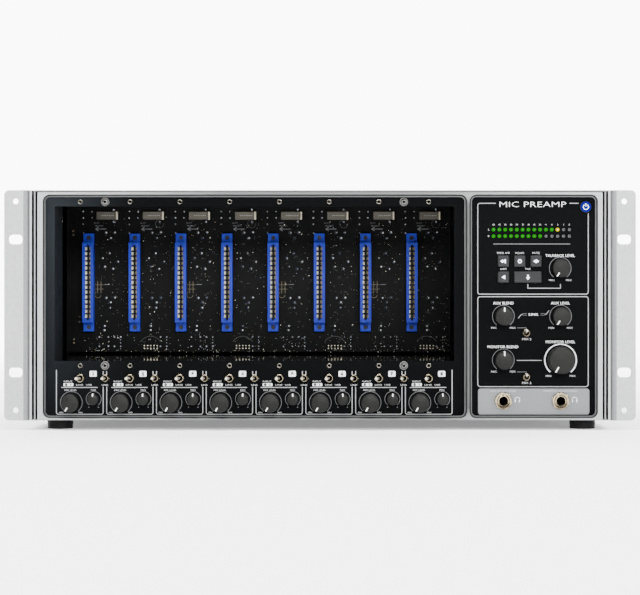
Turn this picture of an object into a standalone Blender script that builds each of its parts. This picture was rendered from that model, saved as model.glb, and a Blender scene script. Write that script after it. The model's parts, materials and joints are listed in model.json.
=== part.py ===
"""Eight-slot rack-mount microphone preamplifier frame, as an assembly of separate parts.

Run with: blender --background --python part.py, or from Blender's text editor.

Lengths are millimetres, and at() turns them into metres. X runs to the right as seen from the front.
Y is the depth behind the front face of the black front panel, so whatever stands proud of the panel
has a negative Y. Z is the height above the underside of the chassis. at() then moves the origin to the
middle of the footprint, on the surface that the feet stand on.
"""

import math

import bmesh
import bpy
from mathutils import Matrix, Vector

MM = 0.001

# Driving dimensions
RACK_WIDTH = 482.6
BODY_WIDTH = 437.2
BODY_HEIGHT = 176.0
BODY_DEPTH = 240.0
FOOT_HEIGHT = 7.2
SHEET = 1.2
GAP = 0.4

# The tallest knob in front and the jack noses behind set the overall depth, and so the origin.
FRONT_REACH = 16.5
REAR_REACH = 243.5
MID_DEPTH = (REAR_REACH - FRONT_REACH) / 2

# Sheet-metal case and its feet
FOOT_X = {"left": -200.5, "right": 202.5}
FOOT_ROWS = (("front", 18.0), ("rear", 222.0))
FRONT_EDGE = -4.5
COVER_SHEET = 1.2
LIP_Y = (6.0, 235.8)
LIP_HEIGHT = 10.8
VENT_X = (-130.0, 140.0)
VENT_COUNT = 12
VENT_PITCH = 7.0
VENT_WIDTH = 3.0
VENT_Y = (176.0, 216.0)
SIDE_INSIDE = BODY_WIDTH / 2 - SHEET
REAR_INSIDE = BODY_DEPTH - SHEET

# Rack ears
EAR_FACE = -4.0
EAR_THICK = 3.0
EAR_REACH = 76.0
EAR_CLEAR = 1.4
EAR_CORNER = 4.0
EAR_HOLE_X = 232.5
EAR_SLOT_Z = (36.7, 138.3)
EAR_HOLE_Z = (7.8, 167.4)
EAR_SLOT_SIZE = (10.4, 7.2)
EAR_HOLE_RADIUS = 2.2
EAR_SHOULDER = 3.4
EAR_SIDE_THICK = 1.9
EAR_GROOVE = 0.5
EAR_GROOVE_Y = -1.6
EAR_EDGE = 0.5
PAD_Y = (22.0, 60.0)
PAD_Z = (34.0, 142.0)
PAD_SIZE = 14.0

# Front panel and the bezel in front of it
PANEL_THICK = 2.0
PANEL_X = 216.2
PANEL_Z = (1.6, 174.0)
BEZEL_FACE = -5.0
BEZEL_X = 216.2
BEZEL_Z = (0.5, 174.4)
WINDOW_Z = (3.7, 170.6)
CHANNEL_WINDOW_X = (-209.7, 110.3)
MASTER_WINDOW_X = (116.2, 210.2)
WINDOW_CORNER = 3.2
WINDOW_CHAMFER = 1.6

# Module bay: eight slots at the module pitch
SLOTS = 8
SLOT_PITCH = 38.1
BAY_CENTRE = -50.15
BAY_X = (BAY_CENTRE - 4 * SLOT_PITCH - 0.4, BAY_CENTRE + 4 * SLOT_PITCH + 0.4)
BAY_Z = (45.4, 163.6)
MODULE_CENTRE_Z = 104.5
MODULE_SCREW_SPACING = 125.4
MODULE_SCREW_RADIUS = 1.6
BAY_FLOOR_Z = (43.8, 45.3)
LINER_X = (-209.5, 109.5)
LINER_SHEET = 1.5
PARTITION_X = (108.0, 109.2)
BAY_WALL_DEPTH = 64.0
RETURN_DEPTH = 12.0

# Backplane board and its edge sockets
BACKPLANE_Y = 161.6
BOARD_THICK = 1.6
SOCKET_OFFSET = -7.5
SOCKET_FLANGE = (9.5, 6.0, 81.0)
SOCKET_BODY = (10.0, 14.0, 66.0)
SOCKET_SLOT = (2.4, 10.0, 63.6)
SOCKET_SCREW_SPACING = 74.0
RELAY_SIZE = (17.4, 6.0, 6.6)
RELAY_OFFSET = (7.6, 55.2)

# Controls of one channel, from the slot's centre line
SWITCH_Z = 32.1
LEVEL_KNOB_AT = (-6.8, 13.6)
PAN_KNOB_AT = (10.3, 16.3)

# Controls of the master section
POWER_AT = (203.3, 163.3)
METER_X = 132.85
METER_PITCH = 4.456
METER_COLUMNS = 14
METER_ROWS = (145.9, 140.9)
LED_RADIUS = 1.4
BUTTON_SIZE = 8.9
BUTTON_PITCH = 12.5
BUTTON_ROWS = (121.7, 109.5)
BUTTON_X = 140.3
TALKBACK_AT = (183.8, 116.3)
AUX_Z = 79.6
MONITOR_Z = 46.1
BLEND_X = 140.3
LEVEL_X = 184.1
RETURN_SWITCH_X = 157.9
RETURN_SWITCH_Z = {"aux_return_lever": 66.8, "monitor_return_lever": 33.1}
JACK_Z = 14.8

# Knobs: cap radius, base radius, height above the panel, shaft radius, facets
KNOB_LIFT = 1.2
LEVEL_KNOB = (6.9, 7.3, 15.5, 3.0, 16)
PAN_KNOB = (4.3, 4.8, 11.5, 2.0, 12)
MONITOR_KNOB = (10.2, 10.8, FRONT_REACH, 3.0, 20)
SHAFT_DEPTH = 9.0
SHAFT_CLEARANCE = 0.5
MIN_MARK = math.radians(150)

# Toggle switches: bush radius, bore radius, lever radius, lever length in front of its pivot
BIG_TOGGLE = (3.15, 2.3, 1.1, 11.5)
SMALL_TOGGLE = (2.75, 1.95, 0.9, 9.5)
TOGGLE_PIVOT = 1.0
TOGGLE_TILT = math.radians(13)
BUSH_PROUD = 3.2

# Boards behind the front panel
CONTROL_BOARD_Y = 12.3
CHANNEL_BOARD_X = (-206.0, 120.0)
CHANNEL_BOARD_Z = (3.0, 42.0)
MASTER_BOARD_X = (114.0, 212.0)
MASTER_BOARD_Z = (26.0, 172.0)
PART_FRONT = PANEL_THICK + GAP
POT_SIZE = 9.6
SWITCH_SIZE = 8.0

# Push buttons
BUTTON_PROUD = 1.8
BUTTON_BACK = 3.6
POWER_RADIUS = 4.4
BUTTON_CLEARANCE = 0.35

# Quarter-inch jacks
JACK_BORE = 3.25
JACK_NOSE = 4.7
JACK_NUT = 7.0
JACK_BODY = 13.0

# Rear connectors
REAR_BOARD_Y = 222.0
CUTOUT_GAP = 0.6
RECESS = 3.5
INPUT_Z = 142.0
ROUND_RADIUS = 11.0
ROUND_BORE = 7.7
ROUND_CORE = 5.9
ROUND_FLANGE = (26.0, 31.0, 1.8)
LINK_Z = 104.0
LINK_SIZE = (15.6, 13.2)
LINK_BORE = (11.8, 8.4)
LINE_Z = 68.0
LINE_X = (-150.0, -50.0)
LINE_SIZE = (47.2, 12.4)
LINE_FLANGE = (53.0, 15.0, 0.9)
LINE_SHELL = (39.0, 8.5, 2.9)
OUTPUT_X = (140.0, 170.0)
OUTPUT_Z = (142.0, 112.0)
COMPUTER_AT = (155.0, 80.0)
COMPUTER_SIZE = (12.0, 11.0)
COMPUTER_BORE = (8.6, 7.9)
SUPPLY_AT = (185.0, 60.0)
SUPPLY_PIN = 3.0

PARTS = "microphone_preamp"
HELPERS = "helpers"


def slot_x(index):
    return BAY_CENTRE + (index - (SLOTS - 1) / 2) * SLOT_PITCH


def at(x, y, z):
    return Vector((x, y - MID_DEPTH, z + FOOT_HEIGHT)) * MM


def around(centre, width):
    return (centre - width / 2, centre + width / 2)


# Scene and materials


def clear_scene():
    for obj in list(bpy.data.objects):
        bpy.data.objects.remove(obj, do_unlink=True)
    for name in (PARTS, HELPERS):
        collection = bpy.data.collections.new(name)
        bpy.context.scene.collection.children.link(collection)


def material(name, colour, roughness, metallic):
    made = bpy.data.materials.new(name)
    made.use_nodes = True
    shader = made.node_tree.nodes["Principled BSDF"]
    shader.inputs["Base Color"].default_value = (*colour, 1)
    shader.inputs["Roughness"].default_value = roughness
    shader.inputs["Metallic"].default_value = metallic
    return made


def make_materials():
    return {
        "silver": material("silver_paint", (0.62, 0.64, 0.66), 0.4, 0.6),
        "black": material("black_powder_coat", (0.012, 0.013, 0.015), 0.5, 0.0),
        "grey": material("case_paint", (0.08, 0.085, 0.09), 0.5, 0.2),
        "board": material("black_solder_mask", (0.01, 0.012, 0.012), 0.35, 0.0),
        "knob": material("soft_touch_plastic", (0.06, 0.06, 0.06), 0.55, 0.0),
        "button": material("button_plastic", (0.11, 0.11, 0.12), 0.5, 0.0),
        "chrome": material("nickel_plate", (0.75, 0.72, 0.66), 0.25, 1.0),
        "rubber": material("foot_rubber", (0.015, 0.015, 0.015), 0.8, 0.0),
    }


# Shapes added to a bmesh


def add_box(bm, x, y, z):
    low, high = at(x[0], y[0], z[0]), at(x[1], y[1], z[1])
    matrix = Matrix.Translation((low + high) / 2) @ Matrix.Diagonal((*(high - low), 1))
    return bmesh.ops.create_cube(bm, size=1, matrix=matrix)["verts"]


def edge_direction(edge):
    return (edge.verts[0].co - edge.verts[1].co).normalized()


def add_rounded_box(bm, x, y, z, radius, steps):
    """A box whose four edges along Y are rounded."""
    corners = set(add_box(bm, x, y, z))
    along_y = [
        edge
        for edge in bm.edges
        if corners.issuperset(edge.verts) and abs(edge_direction(edge).y) > 0.9
    ]
    bmesh.ops.bevel(bm, geom=along_y, offset=radius * MM, segments=steps, profile=0.5, affect="EDGES")


def add_rod(bm, x, z, y, radius, sides=12):
    """A round bar along Y, with one of its flats at the top."""
    turn = Matrix.Rotation(math.pi / 2, 4, "X") @ Matrix.Rotation(math.pi / sides, 4, "Z")
    matrix = Matrix.Translation(at(x, sum(y) / 2, z)) @ turn
    bmesh.ops.create_cone(
        bm,
        cap_ends=True,
        segments=sides,
        radius1=radius * MM,
        radius2=radius * MM,
        depth=(y[1] - y[0]) * MM,
        matrix=matrix,
    )


# Objects


def make_object(name, fill, collection):
    bm = bmesh.new()
    fill(bm)
    bmesh.ops.recalc_face_normals(bm, faces=bm.faces[:])
    mesh = bpy.data.meshes.new(name)
    bm.to_mesh(mesh)
    bm.free()
    obj = bpy.data.objects.new(name, mesh)
    bpy.data.collections[collection].objects.link(obj)
    return obj


def solid(name, fill, finish):
    obj = make_object(name, fill, PARTS)
    obj.data.materials.append(finish)
    return obj


def boolean(obj, operation, fill):
    helper = make_object(f"{obj.name}_{operation.lower()}_{len(obj.modifiers)}", fill, HELPERS)
    helper.hide_render = True
    helper.display_type = "WIRE"
    modifier = obj.modifiers.new(operation.title(), "BOOLEAN")
    modifier.operation = operation
    modifier.object = helper
    return helper


def join(obj, fill):
    boolean(obj, "UNION", fill)


def cut(obj, fill):
    boolean(obj, "DIFFERENCE", fill)


def apply_modifiers(obj):
    """Turns the object's modifiers into its mesh and removes the helpers that they used."""
    helpers = [modifier.object for modifier in obj.modifiers if modifier.type == "BOOLEAN"]
    bpy.context.view_layer.update()
    graph = bpy.context.evaluated_depsgraph_get()
    obj.data = bpy.data.meshes.new_from_object(obj.evaluated_get(graph))
    obj.modifiers.clear()
    for helper in helpers:
        bpy.data.objects.remove(helper, do_unlink=True)


def shade(mesh):
    mesh.shade_smooth()
    mesh.set_sharp_from_angle(angle=math.radians(35))


def turned(name, profile, sides, finish):
    """A shape turned about its own Z axis. The profile runs from the top centre, down the outside."""
    mesh = bpy.data.meshes.new(name)
    points = [(radius * MM, 0, height * MM) for radius, height in profile]
    mesh.from_pydata(points, [(i, i + 1) for i in range(len(points) - 1)], [])
    mesh.materials.append(finish)
    obj = bpy.data.objects.new(name, mesh)
    bpy.data.collections[PARTS].objects.link(obj)
    screw = obj.modifiers.new("Screw", "SCREW")
    screw.steps = sides
    screw.render_steps = sides
    screw.use_merge_vertices = True
    screw.merge_threshold = 0.00001
    screw.use_smooth_shade = True
    return obj


# Case


def make_tray(finish):
    """Bottom, sides and rear wall, folded from one sheet."""

    def open_box(bm):
        half = BODY_WIDTH / 2
        add_box(bm, (-half, half), (FRONT_EDGE, BODY_DEPTH), (0, BODY_HEIGHT - COVER_SHEET - GAP))
        bm.normal_update()
        opened = [face for face in bm.faces if face.normal.z > 0.9 or face.normal.y < -0.9]
        bmesh.ops.delete(bm, geom=opened, context="FACES_ONLY")

    tray = solid("chassis_tray", open_box, finish["silver"])
    folded = tray.modifiers.new("Solidify", "SOLIDIFY")
    folded.thickness = SHEET * MM
    folded.offset = -1
    folded.use_even_offset = True
    cut(tray, rear_cutouts)
    cut(tray, bezel_seat)
    return tray


def bezel_seat(bm):
    """The front of the floor ends behind the bezel."""
    add_box(bm, (-SIDE_INSIDE, SIDE_INSIDE), (FRONT_EDGE - 2, 0.3), (-2, SHEET + 0.2))


def rear_cutouts(bm):
    """Openings in the rear wall, a little larger than the connectors that reach through them."""
    wall = (REAR_INSIDE - 5, BODY_DEPTH + 5)
    for x, z in (*input_places(), SUPPLY_AT):
        add_rod(bm, x, z, wall, ROUND_RADIUS + CUTOUT_GAP, 12)
    for x, z in output_places():
        add_rod(bm, x, z, wall, JACK_NOSE + GAP, 12)
    for x, z, (width, height) in square_connectors():
        add_box(bm, around(x, width + 0.8), wall, around(z, height + 0.8))


def make_cover(finish):
    """The lid, with a lip inside each side of the tray and two rows of vent slots."""
    half = BODY_WIDTH / 2
    top = (BODY_HEIGHT - COVER_SHEET, BODY_HEIGHT)
    cover = solid(
        "top_cover",
        lambda bm: add_box(bm, (-half, half), (FRONT_EDGE, BODY_DEPTH), top),
        finish["silver"],
    )

    def lips(bm):
        for side in (-1, 1):
            lip = around(side * (SIDE_INSIDE - 1.4), COVER_SHEET)
            add_box(bm, lip, LIP_Y, (top[0] - LIP_HEIGHT, top[0] + 0.4))

    def vents(bm):
        for x in VENT_X:
            for column in range(VENT_COUNT):
                middle = x + (column - (VENT_COUNT - 1) / 2) * VENT_PITCH
                add_box(bm, around(middle, VENT_WIDTH), VENT_Y, (top[0] - 1, top[1] + 1))

    join(cover, lips)
    cut(cover, vents)
    return cover


def ear_outline():
    """The ear's section in X and Y: a flange that curves back to a groove, and a plate along the case."""
    outer, inner = RACK_WIDTH / 2, BODY_WIDTH / 2 + EAR_CLEAR
    ridge = inner + EAR_SIDE_THICK
    groove = ridge + EAR_GROOVE
    back = EAR_FACE + EAR_THICK
    points = [(outer, back), (outer, EAR_FACE)]
    for step in range(5):
        turn = math.radians(58) * step / 4
        x = groove + EAR_SHOULDER * (1 - math.sin(turn))
        points.append((x, EAR_FACE + EAR_SHOULDER * (1 - math.cos(turn))))
    points += [(groove, EAR_GROOVE_Y), (ridge, EAR_GROOVE_Y)]
    points += [(ridge, EAR_FACE + EAR_EDGE), (ridge - EAR_EDGE, EAR_FACE)]
    points += [(inner + EAR_EDGE, EAR_FACE), (inner, EAR_FACE + EAR_EDGE)]
    points += [(inner, EAR_REACH), (ridge, EAR_REACH)]
    points += [(ridge, back + 2.6), (groove + 0.6, back + 0.8), (groove + 2.6, back)]
    return points


def extruded_upwards(name, outline, height, finish):
    """A flat outline in X and Y, raised to the given height."""
    curve = bpy.data.curves.new(name, "CURVE")
    curve.dimensions = "2D"
    curve.fill_mode = "BOTH"
    curve.extrude = height / 2 * MM
    spline = curve.splines.new("POLY")
    spline.points.add(len(outline) - 1)
    for point, (x, y) in zip(spline.points, outline):
        point.co = (*at(x, y, 0).xy, 0, 1)
    spline.use_cyclic_u = True
    shape = bpy.data.objects.new(name + "_outline", curve)
    bpy.data.collections[HELPERS].objects.link(shape)
    shape.location.z = (height / 2 + FOOT_HEIGHT) * MM
    bpy.context.view_layer.update()
    mesh = bpy.data.meshes.new_from_object(shape.evaluated_get(bpy.context.evaluated_depsgraph_get()))
    bm = bmesh.new()
    bm.from_mesh(mesh)
    bmesh.ops.remove_doubles(bm, verts=bm.verts[:], dist=1e-6)
    bmesh.ops.recalc_face_normals(bm, faces=bm.faces[:])
    bm.to_mesh(mesh)
    bm.free()
    raised = bpy.data.objects.new(name, mesh)
    raised.matrix_world = shape.matrix_world
    raised.data.materials.append(finish)
    bpy.data.collections[PARTS].objects.link(raised)
    bpy.data.objects.remove(shape, do_unlink=True)
    return raised


def make_ear(name, side, finish):
    """A mounting ear, held off the case by the pads that its screws go through."""
    outline = [(side * x, y) for x, y in ear_outline()]
    ear = extruded_upwards(name, outline, BODY_HEIGHT, finish["silver"])
    inner = BODY_WIDTH / 2 + EAR_CLEAR

    def pads(bm):
        reach = sorted((side * (inner - EAR_CLEAR + GAP), side * (inner + 0.6)))
        for y in PAD_Y:
            for z in PAD_Z:
                add_box(bm, reach, around(y, PAD_SIZE), around(z, PAD_SIZE))

    def holes(bm):
        through = (EAR_FACE - 5, EAR_FACE + 8)
        for z in EAR_SLOT_Z:
            width, height = EAR_SLOT_SIZE
            add_rounded_box(bm, around(side * EAR_HOLE_X, width), through, around(z, height), 2.6, 2)
        for z in EAR_HOLE_Z:
            add_rod(bm, side * EAR_HOLE_X, z, through, EAR_HOLE_RADIUS, 8)

    def corners(bm):
        """The waste outside the two rounded outer corners."""
        low, high = sorted((side * (RACK_WIDTH / 2 - EAR_CORNER), side * (RACK_WIDTH / 2 + 3)))
        for z in ((-3, EAR_CORNER), (BODY_HEIGHT - EAR_CORNER, BODY_HEIGHT + 3)):
            add_box(bm, (low, high), (EAR_FACE - 3, EAR_FACE + EAR_THICK + 3), z)

    def rounded_corners(bm):
        x = side * (RACK_WIDTH / 2 - EAR_CORNER)
        for z in (EAR_CORNER, BODY_HEIGHT - EAR_CORNER):
            add_rod(bm, x, z, (EAR_FACE, EAR_FACE + EAR_THICK), EAR_CORNER, 16)

    join(ear, pads)
    cut(ear, corners)
    join(ear, rounded_corners)
    cut(ear, holes)
    return ear


def make_foot(name, x, y, finish):
    profile = [(0, 0), (10.0, 0), (9.8, -5.4), (8.6, -FOOT_HEIGHT + GAP), (0, -FOOT_HEIGHT + GAP)]
    foot = turned(name, profile, 14, finish["rubber"])
    foot.location = at(x, y, -GAP)
    return foot


# Front


def make_bezel(finish):
    """The frame round both windows, with chamfered window edges."""
    depth = (BEZEL_FACE, -GAP)
    bezel = solid(
        "front_bezel",
        lambda bm: add_rounded_box(bm, (-BEZEL_X, BEZEL_X), depth, BEZEL_Z, 0.8, 2),
        finish["silver"],
    )

    def windows(bm):
        for x in (CHANNEL_WINDOW_X, MASTER_WINDOW_X):
            add_rounded_box(bm, x, (depth[0] - 3, depth[1] + 3), WINDOW_Z, WINDOW_CORNER, 6)

    cut(bezel, windows)
    apply_modifiers(bezel)
    chamfer_windows(bezel)
    return bezel


def chamfer_windows(bezel):
    face_y = at(0, BEZEL_FACE, 0).y
    bm = bmesh.new()
    bm.from_mesh(bezel.data)
    bmesh.ops.remove_doubles(bm, verts=bm.verts[:], dist=1e-6)

    def inside_window(vert):
        x, z = vert.co.x / MM, vert.co.z / MM - FOOT_HEIGHT
        on_face = abs(vert.co.y - face_y) < 1e-6
        return on_face and abs(x) < BEZEL_X - 2 and BEZEL_Z[0] + 2 < z < BEZEL_Z[1] - 2

    rims = [
        edge
        for edge in bm.edges
        if all(inside_window(vert) for vert in edge.verts)
        and edge.is_manifold
        and edge.calc_face_angle() > math.radians(60)
    ]
    bmesh.ops.bevel(
        bm, geom=rims, offset=WINDOW_CHAMFER * MM, segments=1, affect="EDGES", clamp_overlap=False
    )
    bm.to_mesh(bezel.data)
    bm.free()


def make_front_panel(finish):
    """The black panel, with the module bay's opening and a hole for every control."""
    panel = solid(
        "front_panel",
        lambda bm: add_box(bm, (-PANEL_X, PANEL_X), (0, PANEL_THICK), PANEL_Z),
        finish["black"],
    )
    cut(panel, panel_openings)
    return panel


def make_bay_liner(finish):
    """The sheet round the module bay: a floor with a side wall, a partition and two short returns."""
    full_depth = (PART_FRONT, BACKPLANE_Y - GAP)
    returns = (PART_FRONT, RETURN_DEPTH)
    above_floor = (BAY_FLOOR_Z[1] - 0.5, 170)
    liner = solid("bay_liner", lambda bm: add_box(bm, LINER_X, full_depth, BAY_FLOOR_Z), finish["black"])

    def walls(bm):
        left, right = BAY_X[0] - GAP, BAY_X[1] + GAP
        add_box(bm, (left - LINER_SHEET, left), (PART_FRONT, BAY_WALL_DEPTH), above_floor)
        add_box(bm, (right, right + LINER_SHEET), returns, above_floor)
        add_box(bm, PARTITION_X, full_depth, (above_floor[0], PANEL_Z[1] - 1))

    def top_return(bm):
        add_box(bm, (BAY_X[0] - 1, BAY_X[1] + 1), returns, (BAY_Z[1] + 0.3, BAY_Z[1] + 1.6))

    join(liner, walls)
    join(liner, top_return)
    return liner


def panel_openings(bm):
    through = (-5, PANEL_THICK + 5)
    add_box(bm, BAY_X, through, BAY_Z)
    for index in range(SLOTS):
        x = slot_x(index)
        for side in (-0.5, 0.5):
            z = MODULE_CENTRE_Z + side * MODULE_SCREW_SPACING
            add_rod(bm, x, z, (-5, PANEL_THICK + 3), MODULE_SCREW_RADIUS, 6)
    for x, z, radius in shaft_holes():
        add_rod(bm, x, z, through, radius, 8)
    for x, z, radius in lever_holes():
        add_rod(bm, x, z, through, radius, 8)
    meter_end = METER_X + (METER_COLUMNS - 1) * METER_PITCH
    for z in METER_ROWS:
        add_box(bm, (METER_X - 2.0, meter_end + 2.0), through, around(z, 3.6))
    for _, x, z, width in button_places():
        hole = BUTTON_CLEARANCE * 2
        add_box(bm, around(x, width + hole), through, around(z, BUTTON_SIZE + hole))
    add_rod(bm, *POWER_AT, through, POWER_RADIUS + BUTTON_CLEARANCE, 12)
    for x in (BLEND_X, LEVEL_X):
        add_rod(bm, x, JACK_Z, through, JACK_NOSE + GAP, 10)


# Where the controls are


def channel_knobs():
    """Name, X, Z, kind and turn of the mark for every knob of the channels."""
    for index in range(SLOTS):
        x, number = slot_x(index), index + 1
        yield f"level_knob_{number}", x + LEVEL_KNOB_AT[0], LEVEL_KNOB_AT[1], LEVEL_KNOB, MIN_MARK
        yield f"pan_knob_{number}", x + PAN_KNOB_AT[0], PAN_KNOB_AT[1], PAN_KNOB, 0


def master_knobs():
    yield "talkback_knob", *TALKBACK_AT, LEVEL_KNOB, MIN_MARK
    yield "aux_blend_knob", BLEND_X, AUX_Z, LEVEL_KNOB, 0
    yield "aux_level_knob", LEVEL_X, AUX_Z, LEVEL_KNOB, MIN_MARK
    yield "monitor_blend_knob", BLEND_X, MONITOR_Z, LEVEL_KNOB, 0
    yield "monitor_level_knob", LEVEL_X, MONITOR_Z, MONITOR_KNOB, MIN_MARK


def channel_levers():
    """Name, X, Z, kind and the axis that the lever swings about."""
    for index in range(SLOTS):
        yield f"source_lever_{index + 1}", slot_x(index), SWITCH_Z, BIG_TOGGLE, "Z"
    for index in range(SLOTS - 1):
        yield f"link_lever_{index + 1}", slot_x(index) + SLOT_PITCH / 2, SWITCH_Z, SMALL_TOGGLE, "Z"


def master_levers():
    for name, z in RETURN_SWITCH_Z.items():
        yield name, RETURN_SWITCH_X, z, SMALL_TOGGLE, "X"


def all_knobs():
    return [*channel_knobs(), *master_knobs()]


def all_levers():
    return [*channel_levers(), *master_levers()]


def shaft_holes():
    for _, x, z, kind, _ in all_knobs():
        yield x, z, kind[3] + SHAFT_CLEARANCE + 0.2


def lever_holes():
    for _, x, z, kind, _ in all_levers():
        yield x, z, kind[0] + GAP


def meter_places():
    for z in METER_ROWS:
        for column in range(METER_COLUMNS):
            yield METER_X + column * METER_PITCH, z


def button_places():
    """Name, X, Z and width of the square buttons."""
    top, bottom = BUTTON_ROWS
    yield "speaker_button", BUTTON_X, top, BUTTON_SIZE
    yield "mono_button", BUTTON_X + BUTTON_PITCH, top, BUTTON_SIZE
    yield "mute_button", BUTTON_X + 2 * BUTTON_PITCH, top, BUTTON_SIZE
    yield "dim_button", BUTTON_X, bottom, BUTTON_SIZE
    yield "talk_button", BUTTON_X + 1.5 * BUTTON_PITCH, bottom, BUTTON_SIZE + BUTTON_PITCH


# Controls


def knob_mesh(name, kind, finish):
    """A knob with its shaft and a groove for the pointer, with its axis along Z and the mark at +Y."""
    cap, base, height, shaft, sides = kind
    profile = [
        (0, height),
        (cap - 0.9, height),
        (cap, height - 1.1),
        (base, KNOB_LIFT + 2.0),
        (base, KNOB_LIFT),
        (shaft, KNOB_LIFT),
        (shaft, -SHAFT_DEPTH),
        (0, -SHAFT_DEPTH),
    ]
    knob = turned(name, profile, sides, finish["knob"])

    def groove(bm):
        low = Vector((-0.6, cap * 0.5, height - 0.5)) * MM
        high = Vector((0.6, cap + 2, height + 2)) * MM
        matrix = Matrix.Translation((low + high) / 2) @ Matrix.Diagonal((*(high - low), 1))
        bmesh.ops.create_cube(bm, size=1, matrix=matrix)

    cut(knob, groove)
    apply_modifiers(knob)
    mesh = knob.data
    bpy.data.objects.remove(knob, do_unlink=True)
    shade(mesh)
    return mesh


def make_knobs(finish):
    meshes = {kind: knob_mesh("knob", kind, finish) for kind in (LEVEL_KNOB, PAN_KNOB, MONITOR_KNOB)}
    facing = Matrix.Rotation(math.pi / 2, 4, "X")
    for name, x, z, kind, turn in all_knobs():
        knob = bpy.data.objects.new(name, meshes[kind])
        bpy.data.collections[PARTS].objects.link(knob)
        knob.matrix_world = Matrix.Translation(at(x, 0, z)) @ facing @ Matrix.Rotation(turn, 4, "Z")


def make_levers(finish):
    """Toggle levers, each with its ball on the pivot, tipped to the left or up."""
    facing = Matrix.Rotation(math.pi / 2, 4, "X")
    tips = {"Z": Matrix.Rotation(-TOGGLE_TILT, 4, "Z"), "X": Matrix.Rotation(-TOGGLE_TILT, 4, "X")}
    for name, x, z, kind, axis in all_levers():
        _, _, radius, length = kind
        profile = [
            (0, length),
            (radius * 0.8, length - 0.4),
            (radius * 1.15, length - 1.5),
            (radius * 0.8, 1.6),
            (radius * 1.3, 0.6),
            (radius * 1.3, -0.6),
            (0, -1.4),
        ]
        lever = turned(name, profile, 8, finish["chrome"])
        lever.matrix_world = Matrix.Translation(at(x, TOGGLE_PIVOT, z)) @ tips[axis] @ facing


def make_buttons(finish):
    """Button caps with a flange behind the panel that keeps them in."""
    flange_y = (PANEL_THICK + 0.6, BUTTON_BACK)
    for name, x, z, width in button_places():
        button = solid(
            name,
            lambda bm: add_rounded_box(
                bm, around(x, width), (-BUTTON_PROUD, BUTTON_BACK - 0.3), around(z, BUTTON_SIZE), 0.9, 2
            ),
            finish["button"],
        )
        join(button, lambda bm: add_box(bm, around(x, width + 1.6), flange_y, around(z, BUTTON_SIZE + 1.6)))
    x, z = POWER_AT
    power = solid(
        "power_button",
        lambda bm: add_rod(bm, x, z, (-BUTTON_PROUD, BUTTON_BACK - 0.3), POWER_RADIUS, 16),
        finish["button"],
    )
    join(power, lambda bm: add_rod(bm, x, z, flange_y, POWER_RADIUS + 0.8, 16))


def make_headphone_jack(name, x, finish):
    """Jack body behind the panel, its threaded nose through it, and the hexagon nut."""
    rear = (PART_FRONT, 26.0)
    jack = solid(
        name,
        lambda bm: add_box(bm, around(x, JACK_BODY), rear, around(JACK_Z, JACK_BODY)),
        finish["chrome"],
    )
    join(jack, lambda bm: add_rod(bm, x, JACK_Z, (-3.4, PART_FRONT + 1), JACK_NOSE, 16))
    join(jack, lambda bm: add_rod(bm, x, JACK_Z, (-2.5, -GAP), JACK_NUT, 6))
    cut(jack, lambda bm: add_rod(bm, x, JACK_Z, (-6, 20), JACK_BORE, 16))


# Boards


def add_control_parts(board, knobs, levers):
    """Potentiometers and toggle switches soldered to a board, with the bores that the moving parts need."""
    into_board = CONTROL_BOARD_Y + 0.3

    def bodies(bm):
        for _, x, z, kind, _ in knobs:
            size = POT_SIZE if kind != PAN_KNOB else POT_SIZE - 2
            add_box(bm, around(x, size), (PART_FRONT, into_board), around(z, size))
        for _, x, z, kind, _ in levers:
            size = SWITCH_SIZE if kind == BIG_TOGGLE else SWITCH_SIZE - 1.5
            add_box(bm, around(x, size), (PART_FRONT, into_board), around(z, size))

    def bushes(bm):
        for _, x, z, kind, _ in levers:
            add_rod(bm, x, z, (-BUSH_PROUD, PART_FRONT + 0.5), kind[0], 8)

    def bores(bm):
        for _, x, z, kind, _ in knobs:
            add_rod(bm, x, z, (-5, SHAFT_DEPTH + 0.8), kind[3] + SHAFT_CLEARANCE, 8)
        for _, x, z, kind, _ in levers:
            add_rod(bm, x, z, (-5, TOGGLE_PIVOT + 2.2), kind[1], 8)

    join(board, bodies)
    join(board, bushes)
    cut(board, bores)


def board_at(y):
    return (y, y + BOARD_THICK)


def make_control_board(finish):
    """One board behind every control: a strip below the bay that turns up behind the master section."""
    into_board = CONTROL_BOARD_Y + 0.3
    board = solid(
        "control_circuit_board",
        lambda bm: add_box(bm, MASTER_BOARD_X, board_at(CONTROL_BOARD_Y), MASTER_BOARD_Z),
        finish["board"],
    )

    def lamps_and_contacts(bm):
        for x, z in meter_places():
            add_box(bm, around(x, 2 * LED_RADIUS), (0.2, into_board), around(z, 2 * LED_RADIUS))
        behind_buttons = (BUTTON_BACK + 1.4, into_board)
        for _, x, z, width in button_places():
            add_box(bm, around(x, width - 3), behind_buttons, around(z, BUTTON_SIZE - 3))
        add_box(bm, around(POWER_AT[0], 6), behind_buttons, around(POWER_AT[1], 6))

    join(board, lambda bm: add_box(bm, CHANNEL_BOARD_X, board_at(CONTROL_BOARD_Y), CHANNEL_BOARD_Z))
    add_control_parts(board, all_knobs(), all_levers())
    join(board, lamps_and_contacts)
    return board


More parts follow.
